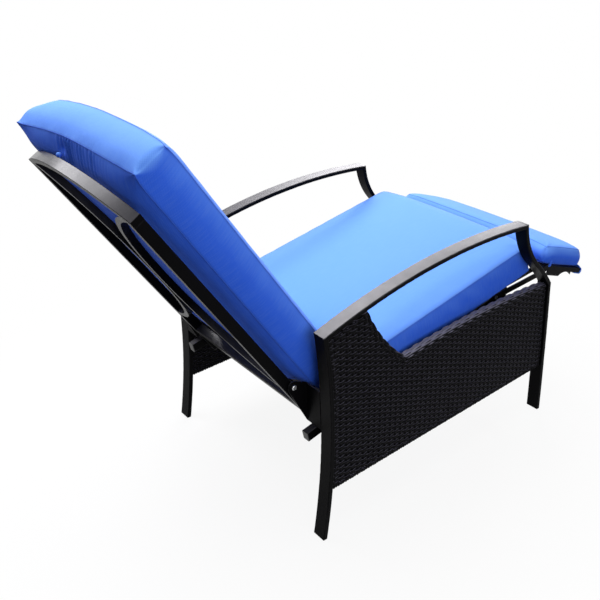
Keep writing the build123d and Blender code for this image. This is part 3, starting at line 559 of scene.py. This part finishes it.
def bandTop(name, path, side, hand):
    # flat strands laid along the border tube: round the section each row is a flat-topped ridge,
    # and along it the row rises and dips as (1 + cos(pi (length / hump + row))) / 2, next rows opposite
    centre, length = smoothPath(path, band["hump"] / 8)
    fine = np.linspace(0, math.tau, 721)
    halfAcross = (weave["outer"] - weave["inner"]) / 2
    outlineX = signedPower(np.cos(fine), band["square"]) * halfAcross
    outlineY = signedPower(np.sin(fine), band["square"]) * band["half"]
    walked = np.concatenate([[0], np.cumsum(np.hypot(np.diff(outlineX), np.diff(outlineY)))])
    count = band["rows"] * band["perRow"]
    share = (np.arange(count) + 0.5) / count
    angle = np.interp(share * walked[-1], walked, fine)
    row = np.floor(share * band["rows"])
    within = share * band["rows"] - row
    ridge = 1 - np.exp(-(np.minimum(within, 1 - within) / 0.13) ** 2)
    rise = 0.5 + 0.5 * np.cos(math.pi * (length[:, None] / band["hump"] + row[None, :] + 0.18 * np.sin(row * 2.3)))
    rise = np.clip(rise * 1.25, 0, 1) ** 0.6
    lift = band["depth"] * (ridge[None, :] * rise - 1.0)
    offAcross = side * signedPower(np.cos(angle), band["square"])[None, :] * (halfAcross + lift)
    offUp = signedPower(np.sin(angle), band["square"])[None, :] * (band["half"] + lift)
    ring = borderRing(centre, side, offAcross, offUp)
    uv = np.stack(np.broadcast_arrays(length[:, None] / 100, share[None, :] * walked[-1] / 100), axis=-1)
    wickerPiece(f"{hand}_{name}", ring, cappedTube(ring), uv)


def panelCore(side, hand):
    # a dark sheet between the two woven faces, painted shade for the hollow inside seen through the weave: squares of a
    # flat grid that lie inside the outline, made thick
    depths, heights = np.arange(-410, 396, 6.0), np.arange(118, 640, 6.0)
    d, h = np.meshgrid(depths, heights, indexing="ij")
    inside = insidePanel(d, h, weave["bandHalf"] * 0.9)
    whole = inside[:-1, :-1] & inside[1:, :-1] & inside[:-1, 1:] & inside[1:, 1:]
    faces = gridFaces(*d.shape)[whole.ravel()]
    used, index = np.unique(faces, return_inverse=True)
    flat = rowFrame(side * (weave["outer"] + weave["inner"]) / 2 + 0 * d, d, h).reshape(-1, 3)[used]
    piece = wickerPiece(f"{hand}_panel_shade_sheet", flat, index.reshape(faces.shape), flat[:, 1:] * 10, "black_plastic")
    thick = piece.modifiers.new("thick", "SOLIDIFY")
    thick.thickness, thick.offset = 0.004, 0.0


for side, hand in ((-1, "right"), (1, "left")):
    outerFace = weaveFace("panel_outer_weave", side, 1, hand)
    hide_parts(f"{hand}_woven_panel")
    weaveFace("panel_inner_weave", side, -1, hand)
    panelCore(side, hand)
    for name, path in panelPaths().items():
        laid = bandTop if name == "panel_top_band" else wrappedBand
        laid(name, path, side, hand)
print("woven panels made")


# Cushions: each has a crowned face, a boxing strip between two sewn seams, and a belly that rests on its frame
cushions = {
    "back_cushion": {
        "body": "back", "origin": (770, 878), "lean": 56.5, "top": 68, "seam": 56, "width": 510, "length": 722,
        "thick": 81, "crown": 24, "fill": 0.75, "cap": 3.0, "pressure": 3.0, "bow": (10.0, 5.0), "side": 11.0,
        "ends": 11.0, "corner": 20.0, "rim": 0.0, "ears": (7.0, 3.5), "soften": (0.0, 13.0), "reach": 38.0,
        "carrier": ((770, 878), 56.5, 16.0), "railLift": 9.6, "sag": 21.0, "crease": 0.7, "seamShade": 0.55,
        "swell": (4.0, 0.5),
    },
    "seat_cushion": {
        "body": "seat", "origin": (-345, 530.5), "lean": -10.9, "top": 628, "seam": -80, "width": 574, "length": 628,
        "thick": 80, "crown": 32, "fill": 0.8, "cap": 3.0, "pressure": 3.0, "bow": (4.0, 5.0), "side": 2.0,
        "ends": 10.0, "corner": 15.0, "rim": 0.0, "ears": (3.0, 3.0), "soften": (0.0, 0.0), "reach": 30.0,
        "carrier": ((348.38, 263.65), -12.3, 12.5), "railLift": 0.0, "sag": 0.0, "crease": 0.6, "seamShade": 0.5,
        "swell": (3.0, 0.6),
    },
    "footrest_cushion": {
        "body": "footrest", "origin": (-446, 502), "lean": 19.5, "top": 0, "seam": -50, "width": 568, "length": 187,
        "thick": 50, "crown": 11, "fill": 0.7, "cap": 2.5, "pressure": 2.5, "bow": (3.0, 3.0), "side": 10.0,
        "ends": 11.0, "corner": 22.0, "rim": 8.0, "ears": (2.0, 2.0), "soften": (6.0, 6.0), "reach": 34.0,
        "carrier": ((-479, 418.5), 20.0, 7.0), "railLift": 0.0, "sag": 0.0, "crease": 0.0, "seamShade": 0.08,
        "swell": (3.0, 0.6),
    },
}
clothQuad = 12.3


def cubeShell(counts):
    # the six faces of a cube from -1 to 1 as grids, points closer together near the edges
    def spread(count):
        even = np.linspace(-1, 1, count)
        return even * 0.55 + np.sin(even * math.pi / 2) * 0.45
    shell = Gathered()
    for axis in range(3):
        first, second = [i for i in range(3) if i != axis]
        u, v = np.meshgrid(spread(counts[first]), spread(counts[second]), indexing="ij")
        for sign in (-1, 1):
            grid = np.zeros(u.shape + (3,))
            grid[..., first], grid[..., second], grid[..., axis] = u, v, sign
            shell.add(grid, gridFaces(*u.shape))
    return shell.arrays()


def lowest(x, y, c):
    # how low the cushion's belly may hang below its seam, at the frame that carries it
    (depth0, height0), lean, above = c["carrier"]
    run = math.radians(c["lean"])
    depth = c["origin"][0] + (c["top"] - y) * math.cos(run) - c["seam"] * math.sin(run)
    height = c["origin"][1] + (c["top"] - y) * math.sin(run) + c["seam"] * math.cos(run)
    turn = math.radians(lean)
    rise = (height - height0) * math.cos(turn) - (depth - depth0) * math.sin(turn) - above
    nearRail = np.clip((np.abs(x) - 196) / 14, 0, 1)
    nearTop = np.clip((96 - y) / 20, 0, 1)
    return -(rise - 0.6 - c["railLift"] * np.maximum(nearRail, nearTop))


def cushionForm(cube, c):
    # x across, y from the first end, z through. The boxing turns each corner on an arc of radius corner*sqrt(1 - t^2)
    # and bulges as (1 - t^2); the crown is (1 - |a|^p)^q across and half (1 - |b|^4)^0.6 along; the belly is
    # (1 - |a|^8)(1 - |b|^10); each end bows out as (1 - |a|^2.2); ears are exp(-distance to the corner), and a
    # softened corner is drawn back by exp(-(distance / reach)^2)
    a, b, t = cube.T
    half, length = c["width"] / 2 - 1.5, c["length"]
    wall = 1 - t ** 2
    sideways, lengthways = (1 - np.abs(a)) * half, (1 - np.abs(b)) * length / 2
    through = (1 - np.abs(t)) * c["thick"] / 2
    radius = np.maximum(c["rim"] + (c["corner"] - c["rim"]) * np.sqrt(wall), 1e-6)
    onSide, onEnd = np.abs(a) > 0.9999, np.abs(b) > 0.9999
    sideTurn = np.clip(1 - lengthways / radius, 0, 1) * math.pi / 4
    endTurn = np.clip(1 - sideways / radius, 0, 1) * math.pi / 4
    endArc = np.where(sideways < radius, radius * (1 - np.sin(endTurn)), sideways)
    sideArc = np.where(lengthways < radius, radius * (1 - np.sin(sideTurn)), lengthways)
    newSide = np.where(onSide, radius * (1 - np.cos(sideTurn)), np.where(onEnd, endArc, sideways))
    newLength = np.where(onSide, sideArc, np.where(onEnd, radius * (1 - np.cos(endTurn)), lengthways))
    x = np.sign(a) * (half - newSide) + a * wall * c["side"] * (1 - 0.35 * b ** 8)
    y = length / 2 + np.sign(b) * (length / 2 - newLength)
    y = y + b * np.abs(b) ** 7 * wall * c["ends"] * (1 - 0.35 * a ** 8)
    first, last = ((1 - b) / 2) ** 5, ((1 + b) / 2) ** 5
    arch = 1 - np.abs(a) ** 2.2
    y = y - first * arch * c["bow"][0] + last * arch * c["bow"][1]
    ear = np.where(t < 0, c["ears"][0], c["ears"][1])
    ear = ear * np.exp(-np.sqrt(sideways ** 2 + lengthways ** 2 + (1.3 * through) ** 2) / 13.0)
    x, y = x + np.sign(a) * ear * 0.6, y + np.sign(b) * ear * 0.8
    firstFar = (a > 0) & (b < 0)
    nearCorner = np.exp(-(sideways ** 2 + lengthways ** 2) / c["reach"] ** 2)
    back = (np.where(firstFar, c["soften"][1], c["soften"][0]) * np.clip((t + 0.2) / 1.2, 0, 1) ** 1.5) * nearCorner
    out = np.where(firstFar, c["soften"][1], 0.0) * 0.25 * np.exp(-((t + 0.25) / 0.45) ** 2) * nearCorner
    x, y = x - np.sign(a) * (back - out), y - np.sign(b) * (back * 0.6 - out * 0.6)
    thin = 1 - 0.10 * np.clip((np.abs(b) - 0.9) / 0.1, 0, 1) ** 2
    z = (t * thin + 1) / 2 * c["thick"]
    across = np.maximum(1 - np.abs(a) ** c["swell"][0], 0) ** c["swell"][1]
    along = 0.5 + 0.5 * np.maximum(1 - b ** 4, 0) ** 0.6
    z = z + np.clip(t, 0, 1) * c["crown"] * 0.88 * across * along
    belly = (1 - np.abs(a) ** 8) * (1 - np.abs(b) ** 10)
    z = z + np.clip(-t, 0, 1) * lowest(x, y, c) * belly
    z = z - back * 0.4
    z = z - c["sag"] * np.clip(a, 0, 1) ** 1.5 * ((1 - b) / 2) ** 2.5
    return x, y, z


def cushionPlace(c, x, y, z):
    # the cushion's own axes to the row frame
    lean = math.radians(c["lean"])
    run, rise = c["top"] - y, c["seam"] + z
    depth = c["origin"][0] + run * math.cos(lean) - rise * math.sin(lean)
    height = c["origin"][1] + run * math.sin(lean) + rise * math.cos(lean)
    return rowFrame(x, depth, height)


def cushionAxes(c, points):
    # the row frame back to the cushion's own axes
    lean = math.radians(c["lean"])
    depth = points[:, 1] * 1000 + chair["middle"] - c["origin"][0]
    height = points[:, 2] * 1000 - c["origin"][1]
    run = depth * math.cos(lean) + height * math.sin(lean)
    rise = height * math.cos(lean) - depth * math.sin(lean)
    return points[:, 0] * 1000, c["top"] - run, rise - c["seam"]


def readPoints(mesh, what="co"):
    values = np.empty(len(mesh.vertices) * 3)
    mesh.vertices.foreach_get(what, values)
    return values.reshape(-1, 3)


def evened(mesh, shift, heldVerts):
    # each point's shift averaged with its neighbours', eight times over, so that no small buckle is left
    ends = vertexNumbers(mesh.edges, "vertices", 2)
    first, second = ends.reshape(-1, 2).T
    joined = np.bincount(ends, minlength=len(shift))[:, None]
    for turn in range(8):
        total = np.zeros_like(shift)
        np.add.at(total, first, shift[second])
        np.add.at(total, second, shift[first])
        shift = (shift + total / np.maximum(joined, 1)) / 2
        shift[heldVerts] = 0.0
    return shift


def puffed(piece, seamVerts, c):
    # Blender's cloth with pressure inside and the seams held; no point moves further than the cap
    rest = readPoints(piece.data)
    held = piece.vertex_groups.new(name="seams")
    held.add(seamVerts.tolist(), 1.0, "REPLACE")
    cloth = piece.modifiers.new("stuffing", "CLOTH")
    cloth.settings.use_pressure = True
    cloth.settings.uniform_pressure_force = c["pressure"]
    cloth.settings.effector_weights.gravity = 0
    cloth.settings.vertex_group_mass = "seams"
    cloth.settings.tension_stiffness = 14
    cloth.settings.compression_stiffness = 14
    cloth.settings.bending_stiffness = 0.5
    cloth.settings.shrink_min = -0.012
    cloth.settings.quality = 6
    for step in range(1, 15):
        scene.frame_set(step)
    moved = readPoints(piece.evaluated_get(bpy.context.evaluated_depsgraph_get()).data)
    piece.modifiers.remove(cloth)
    scene.frame_set(1)
    shift = evened(piece.data, moved - rest, seamVerts)
    far = np.linalg.norm(shift, axis=1, keepdims=True)
    cap = c["cap"] / 1000
    shift *= cap * np.tanh(far / cap) / np.maximum(far, 1e-9)
    piece.data.vertices.foreach_set("co", (rest + shift).ravel())
    piece.vertex_groups.clear()


def settled(piece):
    # its modifiers applied to its mesh
    graph = bpy.context.evaluated_depsgraph_get()
    old = piece.data
    piece.data = bpy.data.meshes.new_from_object(
        piece.evaluated_get(graph), preserve_all_data_layers=True, depsgraph=graph
    )
    piece.modifiers.clear()
    bpy.data.meshes.remove(old)


folds = {
    "rays": 0.9, "raySpan": 38.0, "rayCount": 9.0, "pucker": 0.4, "drag": 1.1,
    "gather": 5.0, "gatherPitch": 2.15, "gatherSpan": 32.0, "knotAt": 46.0, "knotDip": 4.0,
}


def fineFolds(piece, c, gathered):
    # rays from the ears, small puckers by the seams, long drag folds on the boxing, gathers under the back's rear
    # seam, and the belly kept off its frame; each is a wave times a fall-off in millimetres from its seam or corner
    mesh = piece.data
    cube = np.empty(len(mesh.vertices) * 3)
    mesh.attributes["cube"].data.foreach_get("vector", cube)
    cube = cube.reshape(-1, 3)
    a, b, t = cube.T
    place, normal = readPoints(mesh), readPoints(mesh, "normal")
    x, y, z = cushionAxes(c, place)
    sideways = (1 - np.abs(a)) * c["width"] / 2
    lengthways = (1 - np.abs(b)) * c["length"] / 2
    through = (1 - np.abs(t)) * c["thick"] / 2
    corner = np.sqrt(sideways ** 2 + lengthways ** 2 + through ** 2)
    turn = np.arctan2(lengthways + 0.6 * through, sideways + 0.6 * through)
    rays = np.cos(turn * folds["rayCount"] + a * 2.0 + b)
    lift = folds["rays"] * rays * np.exp(-corner / folds["raySpan"]) * np.clip(corner / 8.0, 0, 1)
    boxing = (np.abs(t) < 0.999).astype(float)
    rim = np.exp(-through / 7.0) * np.exp(-np.minimum(sideways, lengthways) / 9.0)
    wave = np.sin(x / 8.5 + np.sin(y / 31.0) * 1.5) * np.sin(y / 9.7 + np.sin(x / 27.0) * 1.7)
    lift = lift + folds["pucker"] * wave * rim
    drag = np.sin(y / 19.0 + z / 26.0 + 1.4 * np.sin(y / 57.0)) * np.sin(x / 41.0 + y / 83.0 + 0.7)
    smoother = np.where(np.abs(b) > 0.999, 0.25, 1.0)
    lift = lift + folds["drag"] * drag * boxing * (1 - t ** 2) * smoother
    if gathered == "rear":
        rear = np.clip(-t, 0, 1) ** 6
        fromSeam = lengthways * (b < 0) + 400 * (b >= 0)
        phase = x / folds["gatherPitch"] + 1.8 * np.sin(x / 23.0) + fromSeam * 0.012 * np.sin(x / 11.0)
        ridge = signedPower(np.cos(phase), 0.7) * (0.7 + 0.4 * np.sin(x / 8.3))
        strong = np.exp(-((x - 18) / 36) ** 2) + 0.5 * np.exp(-((x + 66) / 52) ** 2)
        fall = np.exp(-fromSeam / folds["gatherSpan"]) * np.clip(fromSeam / 5, 0.15, 1)
        lift = lift + folds["gather"] * ridge * strong * rear * fall
        lift = lift - folds["knotDip"] * rear * np.exp(-((x - folds["knotAt"]) / 11) ** 2 - ((fromSeam - 20) / 11) ** 2)
    if gathered == "lower":
        low = np.exp(-(1 + t) * c["thick"] / 2 / 10.0) * boxing
        lift = lift + 1.5 * np.sin(y / 2.1 + x / 3.3 + 1.3 * np.sin(y / 13.0 + x / 17.0)) * low
    place = place + normal * lift[:, None] / 1000
    x, y, z = cushionAxes(c, place)
    low = np.where(t < 0.2, np.maximum(z, lowest(x, y, c)), z)
    mesh.vertices.foreach_set("co", cushionPlace(c, x, y, low).ravel())
    # painted shade along the seams, which the cloth's finish reads as a darkening
    seamShade = c["seamShade"] * np.exp(-through / 1.6) * np.exp(-np.minimum(sideways, lengthways) / 1.6)
    mesh.attributes.new("seamShade", "FLOAT", "POINT").data.foreach_set("value", seamShade.astype(np.float32))
    mesh.update()
    return cube


def makeCushion(name, c, gathered):
    counts = [int(c["width"] / clothQuad), int(c["length"] / clothQuad), max(int(c["thick"] / 9), 6)]
    cube, faces = cubeShell(counts)
    mesh = bpy.data.meshes.new(name)
    mesh.from_pydata(cube.tolist(), [], faces.tolist())
    outward(mesh)
    cube = readPoints(mesh)
    x, y, z = cushionForm(cube, c)
    mesh.attributes.new("cube", "FLOAT_VECTOR", "POINT").data.foreach_set("vector", cube.ravel().astype(np.float32))
    mesh.vertices.foreach_set("co", cushionPlace(c, x, y, z).ravel())
    mesh.flip_normals()  # the cushion's own axes are left-handed in the row frame
    piece = bpy.data.objects.new(name, mesh)
    scene.collection.objects.link(piece)
    piece.data.materials.append(finishes["blue_fabric"])
    loops = vertexNumbers(mesh.loops, "vertex_index")
    owner = np.repeat(np.arange(len(mesh.polygons)), 4)
    middle = cube[loops].reshape(-1, 4, 3).mean(axis=1)
    axis = np.abs(middle).argmax(axis=1)[owner]
    metres = np.stack([x, y, z], axis=-1) / 1000
    u = np.where(axis == 0, metres[loops, 1], metres[loops, 0])
    v = np.where(axis == 2, metres[loops, 1], metres[loops, 2])
    layer = mesh.uv_layers.new(name="cloth")
    layer.data.foreach_set("uv", np.stack([u, v], axis=-1).ravel().astype(np.float32))
    onFace = np.abs(cube[:, 2]) > 0.999
    onRim = onFace & ((np.abs(cube[:, 0]) > 0.999) | (np.abs(cube[:, 1]) > 0.999))
    ends = vertexNumbers(mesh.edges, "vertices", 2).reshape(-1, 2)
    crease = (onRim[ends[:, 0]] & onRim[ends[:, 1]]).astype(np.float32) * c["crease"]
    mesh.attributes.new("crease_edge", "FLOAT", "EDGE").data.foreach_set("value", crease)
    puffed(piece, np.flatnonzero(onRim), c)
    mesh.polygons.foreach_set("use_smooth", np.full(len(mesh.polygons), True))
    smooth = piece.modifiers.new("round", "SUBSURF")
    smooth.levels = smooth.render_levels = 2
    settled(piece)
    cube = fineFolds(piece, c, gathered)
    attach(piece, c["body"])
    return piece, cube


def seamLine(name, piece, cube, c):
    # a thin sewn line round each face's border, half sunk in the cushion
    place, normals = readPoints(piece.data), readPoints(piece.data, "normal")
    lines = Gathered()
    for sign in (-1, 1):
        rim = np.flatnonzero(
            (cube[:, 2] * sign > 0.9995) & ((np.abs(cube[:, 0]) > 0.9995) | (np.abs(cube[:, 1]) > 0.9995))
        )
        ring = rim[np.argsort(np.arctan2(cube[rim, 1], cube[rim, 0]))]
        centre, out = place[ring] - normals[ring] * 0.0005, normals[ring]
        along = np.roll(centre, -1, axis=0) - np.roll(centre, 1, axis=0)
        side = np.cross(along, out)
        side /= np.linalg.norm(side, axis=1, keepdims=True)
        angle = np.linspace(0, math.tau, 6, endpoint=False)
        tube = sweep(centre, side, out, np.cos(angle)[None, :] * 0.0010, np.sin(angle)[None, :] * 0.0010)
        grid = np.concatenate([tube, tube[:1]])
        lines.add(grid, gridFaces(len(grid), 6, True))
    return addPiece(name + "_seams", *lines.arrays(), seamFinish, c["body"], "blue_fabric")


def givesWay(piece, c, fixedEnd, keep):
    # gives the piece a mesh of its own; the place of the fixed end is worked out, but the foam is not pressed
    fixed = cushionPlace(c, 0.0, fixedEnd, c["thick"] / 2)
    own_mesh(piece)


gatheredAt = {"back_cushion": "rear", "footrest_cushion": "lower"}
pressed = {"back_cushion": (0.0, 0.94), "seat_cushion": (628.0, 0.94)}
for name, c in cushions.items():
    piece, cube = makeCushion(name + "_cover", c, gatheredAt.get(name))
    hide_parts(name)
    seams = seamLine(name, piece, cube, c)
    if name in pressed:
        for soft in (piece, seams):
            givesWay(soft, c, *pressed[name])
    print("cushion made:", name, len(piece.data.polygons))


# The pocket of cloth that holds the footrest cushion on the front of its frame
pocket = {"railEnd": 176.0, "outside": 9.3, "cloth": 1.8, "under": 146.0, "half": 268.0, "seam": (-188.0, 2.5)}
footrestRail = {"at": (-479, 418.5), "lean": 20.0}


def railPoint(run, rise):
    # along the footrest's rail from its start, and square to it
    lean = math.radians(footrestRail["lean"])
    depth = footrestRail["at"][0] - run * math.cos(lean) - rise * math.sin(lean)
    return np.stack([depth, footrestRail["at"][1] - run * math.sin(lean) + rise * math.cos(lean)], axis=-1)


def pocketCover():
    # a C-shaped section, straight from the cushion's seam, round the frame's front and back under it, swept across;
    # its outside ripples as sin(x/9) sin(x/23)
    angle = np.linspace(math.pi / 2, -math.pi / 2, 12)
    nose = railPoint(pocket["railEnd"] + np.cos(angle) * pocket["outside"], np.sin(angle) * pocket["outside"])
    c = cushions["footrest_cushion"]
    seam = cushionPlace(c, 0, -pocket["seam"][0], pocket["seam"][1]) * 1000
    start = np.array([seam[1] + chair["middle"], seam[2]])
    share = np.linspace(0, 1, 10)[:-1, None]
    upper = start * (1 - share) + nose[0] * share + np.sin(share * math.pi) * (-5.0, 1.0)
    under = nose[-1] * (1 - share[1:]) + railPoint(pocket["under"], -pocket["outside"]) * share[1:]
    outer = np.concatenate([upper, nose, under])
    along = np.gradient(outer, axis=0)
    along /= np.linalg.norm(along, axis=1, keepdims=True)
    inwards = np.stack([-along[:, 1], along[:, 0]], axis=-1)
    if (inwards[12] @ (railPoint(100.0, 0.0) - outer[12])) < 0:
        inwards = -inwards
    x = np.linspace(-pocket["half"], pocket["half"], 180)
    ripple = 0.8 * np.sin(x / 9.0) * np.sin(x / 23.0 + 1.0)
    hang = np.sin(np.linspace(0, math.pi, len(outer)))[None, :] * ripple[:, None]
    section = np.concatenate([outer, (outer + inwards * pocket["cloth"])[::-1]])
    ripples = np.concatenate([hang, hang[:, ::-1]], axis=1)
    outs = -np.concatenate([inwards, inwards[::-1]])
    flat = section[None, :, :] + outs[None, :, :] * ripples[:, :, None]
    ring = rowFrame(x[:, None], flat[..., 0], flat[..., 1])
    length = np.arange(len(section)) * 3.0 / 1000
    uv = np.stack(np.broadcast_arrays(x[:, None] / 1000, length[None, :]), axis=-1)
    piece = addPiece(
        "footrest_pocket_cover", ring.reshape(-1, 3), cappedTube(ring), finishes["blue_fabric"], "footrest",
        "blue_fabric", {"cloth": uv.reshape(-1, 2)},
    )
    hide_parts("footrest_pocket")


tie = {"width": 9.0, "thick": 1.2, "middle": (286.0, 33.0, 5.0), "bulge": 1.6, "tall": 14.0, "sway": 1.5}


def tieLoops():
    # a flat loop of tape at each side of the footrest cushion: an ellipse in x and z, swept as a thin flat section
    angle = np.linspace(0, math.tau, 40)
    across, thick = strandSection(tie["width"], tie["thick"])
    loops = Gathered()
    for side in (-1, 1):
        x = side * (tie["middle"][0] + np.cos(angle)[:, None] * (tie["bulge"] + thick[None, :]))
        y = tie["middle"][1] + across[None, :] + np.sin(angle)[:, None] * tie["sway"]
        z = tie["middle"][2] + np.sin(angle)[:, None] * (tie["tall"] + thick[None, :])
        uv = np.stack(np.broadcast_arrays(angle[:, None] * 0.01, across[None, :] / 1000), axis=-1)
        loops.add(cushionPlace(cushions["footrest_cushion"], x, y, z), gridFaces(len(angle), len(across), True), uv)
    points, faces, uv = loops.arrays()
    addPiece(
        "footrest_cushion_ties", points, faces, finishes["blue_fabric"], "footrest", "blue_fabric", {"cloth": uv}
    )


knot = {"radius": 6.3, "lobes": 5, "lobe": 0.14, "middle": (46.0, 773.5, 936.0), "tail": (5.0, 1.2)}


def tiedKnot():
    # the knot that draws the back's cover together: a ball with five lobes, and two short tails of tape
    turn, tilt = np.meshgrid(np.linspace(0, math.tau, 24), np.linspace(0, math.pi, 14), indexing="ij")
    radius = knot["radius"] * (1 + knot["lobe"] * np.cos(knot["lobes"] * turn + 2 * tilt) * np.sin(tilt))
    ball = np.stack([radius * np.sin(tilt) * np.cos(turn), radius * np.sin(tilt) * np.sin(turn), radius * np.cos(tilt)])
    middle = knot["middle"]
    tied = Gathered()
    tied.add(
        rowFrame(middle[0] + ball[0], middle[1] + ball[1] * 0.8, middle[2] + ball[2] * 0.9), gridFaces(*turn.shape)
    )
    across, thick = strandSection(*knot["tail"])
    along = np.linspace(0, 1, 12)[:, None]
    for side in (-1, 1):
        x = middle[0] + side * (3 + 9 * along) + thick[None, :] * 0.4
        depth = middle[1] + 3 * along + thick[None, :]
        height = middle[2] - 2 - 9 * along ** 1.5 + across[None, :] * (1 - 0.2 * along)
        tail = rowFrame(x, depth, height)
        tied.add(tail, cappedTube(tail))
    points, faces = tied.arrays()
    piece = addPiece(
        "back_cushion_knot", points, faces, finishes["blue_fabric"], "back", "blue_fabric",
        {"cloth": points[:, [0, 2]]},
    )
    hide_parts("back_button")


pocketCover()
tieLoops()
tiedKnot()
print("pocket, ties and knot made")


# Camera, lamps and floor
camera = bpy.data.objects.new("camera", bpy.data.cameras.new("camera"))
scene.collection.objects.link(camera)
scene.camera = camera
camera.location = (-1.477, 1.26285, 1.420)
camera.rotation_euler = Vector((0.708, -0.592, -0.3845)).to_track_quat("-Z", "Y").to_euler()
camera.data.sensor_width = 36.0
camera.data.lens = 48.3
camera.data.shift_x = -0.0567
camera.data.shift_y = -0.1233

lamps = {
    "skyLight": {
        "place": (0.2, -0.2, 3.1), "aim": (0.0, 0.0, 0.5), "along": (1, 0, 0), "size": (2.8, 2.8), "watts": 52.0,
        "colour": (1.0, 0.99, 0.98),
    },
    "farLight": {
        "place": (2.03, -1.50, 2.15), "aim": (-0.2, 0.0, 0.6), "along": (0.0, 0.86, 0.51), "size": (3.6, 0.9),
        "watts": 84.0, "colour": (0.98, 0.96, 1.0),
    },
    "railLight": {
        "place": (1.58, 1.08, 2.62), "aim": (0.0, 0.75, 1.0), "along": (1, 0, 0), "size": (2.1, 1.1), "watts": 52.0,
        "colour": (0.98, 0.97, 1.0),
    },
    "nearLight": {
        "place": (-2.6, 0.5, 1.5), "aim": (0.0, 0.0, 0.5), "along": (0, 1, 0), "size": (2.2, 1.6), "watts": 31.0,
        "colour": (0.97, 0.98, 1.0),
    },
}
for name, lamp in lamps.items():
    light = bpy.data.lights.new(name, "AREA")
    light.shape = "RECTANGLE"
    light.size, light.size_y = lamp["size"]
    light.energy, light.color = lamp["watts"], lamp["colour"]
    back = (Vector(lamp["place"]) - Vector(lamp["aim"])).normalized()
    upward = back.cross(Vector(lamp["along"])).normalized()
    holder = bpy.data.objects.new(name, light)
    holder.matrix_world = Matrix((upward.cross(back), upward, back)).transposed().to_4x4()
    holder.location = lamp["place"]
    scene.collection.objects.link(holder)

world = bpy.data.worlds.new("studio")
scene.world = world
world.use_nodes = True
worldNodes, worldLinks = world.node_tree.nodes, world.node_tree.links


def whiteSeen(nodes, links):
    # 1 for rays from the camera, by reflection or through glass
    rays = nodes.new("ShaderNodeLightPath")
    total = rays.outputs["Is Camera Ray"]
    for kind in ("Is Glossy Ray", "Is Transmission Ray"):
        more = nodes.new("ShaderNodeMath")
        more.operation = "MAXIMUM"
        links.new(total, more.inputs[0])
        links.new(rays.outputs[kind], more.inputs[1])
        total = more.outputs[0]
    return total


seen = whiteSeen(worldNodes, worldLinks)
plain, shown = worldNodes["Background"], worldNodes.new("ShaderNodeBackground")
plain.inputs["Color"].default_value = (0.93, 0.95, 1.0, 1.0)
plain.inputs["Strength"].default_value = 0.16
shown.inputs["Color"].default_value = (1.0, 1.0, 1.0, 1.0)
mixed = worldNodes.new("ShaderNodeMixShader")
worldLinks.new(seen, mixed.inputs[0])
worldLinks.new(plain.outputs[0], mixed.inputs[1])
worldLinks.new(shown.outputs[0], mixed.inputs[2])
worldLinks.new(mixed.outputs[0], worldNodes["World Output"].inputs[0])

floorFinish = bpy.data.materials.new("paleFloor")
floorFinish.use_nodes = True
floorNodes, floorLinks = floorFinish.node_tree.nodes, floorFinish.node_tree.links
floorShader = floorNodes["Principled BSDF"]
floorTone = floorNodes.new("ShaderNodeMix")
floorTone.data_type = "RGBA"
floorTone.inputs[6].default_value = (0.16, 0.16, 0.165, 1.0)
floorTone.inputs[7].default_value = (0.80, 0.80, 0.80, 1.0)
floorSeen = whiteSeen(floorNodes, floorLinks)
floorLinks.new(floorSeen, floorTone.inputs[0])
floorLinks.new(floorTone.outputs[2], floorShader.inputs["Base Color"])
floorShader.inputs["Roughness"].default_value = 0.9
floorShader.inputs["Specular IOR Level"].default_value = 0.1
glow = floorNodes.new("ShaderNodeEmission")
glow.inputs["Color"].default_value = (1.0, 1.0, 1.0, 1.0)
floorCoords = floorNodes.new("ShaderNodeTexCoord")
away = floorNodes.new("ShaderNodeVectorMath")
away.operation = "LENGTH"
floorLinks.new(floorCoords.outputs["Object"], away.inputs[0])
fading = floorNodes.new("ShaderNodeMapRange")
for key, value in {"From Min": 0.45, "From Max": 1.25, "To Min": 0.90, "To Max": 1.0}.items():
    fading.inputs[key].default_value = value
floorLinks.new(away.outputs["Value"], fading.inputs["Value"])
share = floorNodes.new("ShaderNodeMath")
share.operation = "MULTIPLY"
floorLinks.new(floorSeen, share.inputs[0])
floorLinks.new(fading.outputs[0], share.inputs[1])
floorMix = floorNodes.new("ShaderNodeMixShader")
floorLinks.new(share.outputs[0], floorMix.inputs[0])
floorLinks.new(floorShader.outputs[0], floorMix.inputs[1])
floorLinks.new(glow.outputs[0], floorMix.inputs[2])
floorLinks.new(floorMix.outputs[0], floorNodes["Material Output"].inputs[0])
floorMesh = bpy.data.meshes.new("floor")
reach = 14.0
floorMesh.from_pydata(
    [(-reach, -reach, 0), (reach, -reach, 0), (reach, reach, 0), (-reach, reach, 0)], [], [(0, 1, 2, 3)]
)
floorMesh.materials.append(floorFinish)
floor = bpy.data.objects.new("floor", floorMesh)
floor.location.z = -0.0005
scene.collection.objects.link(floor)
print("stage set")
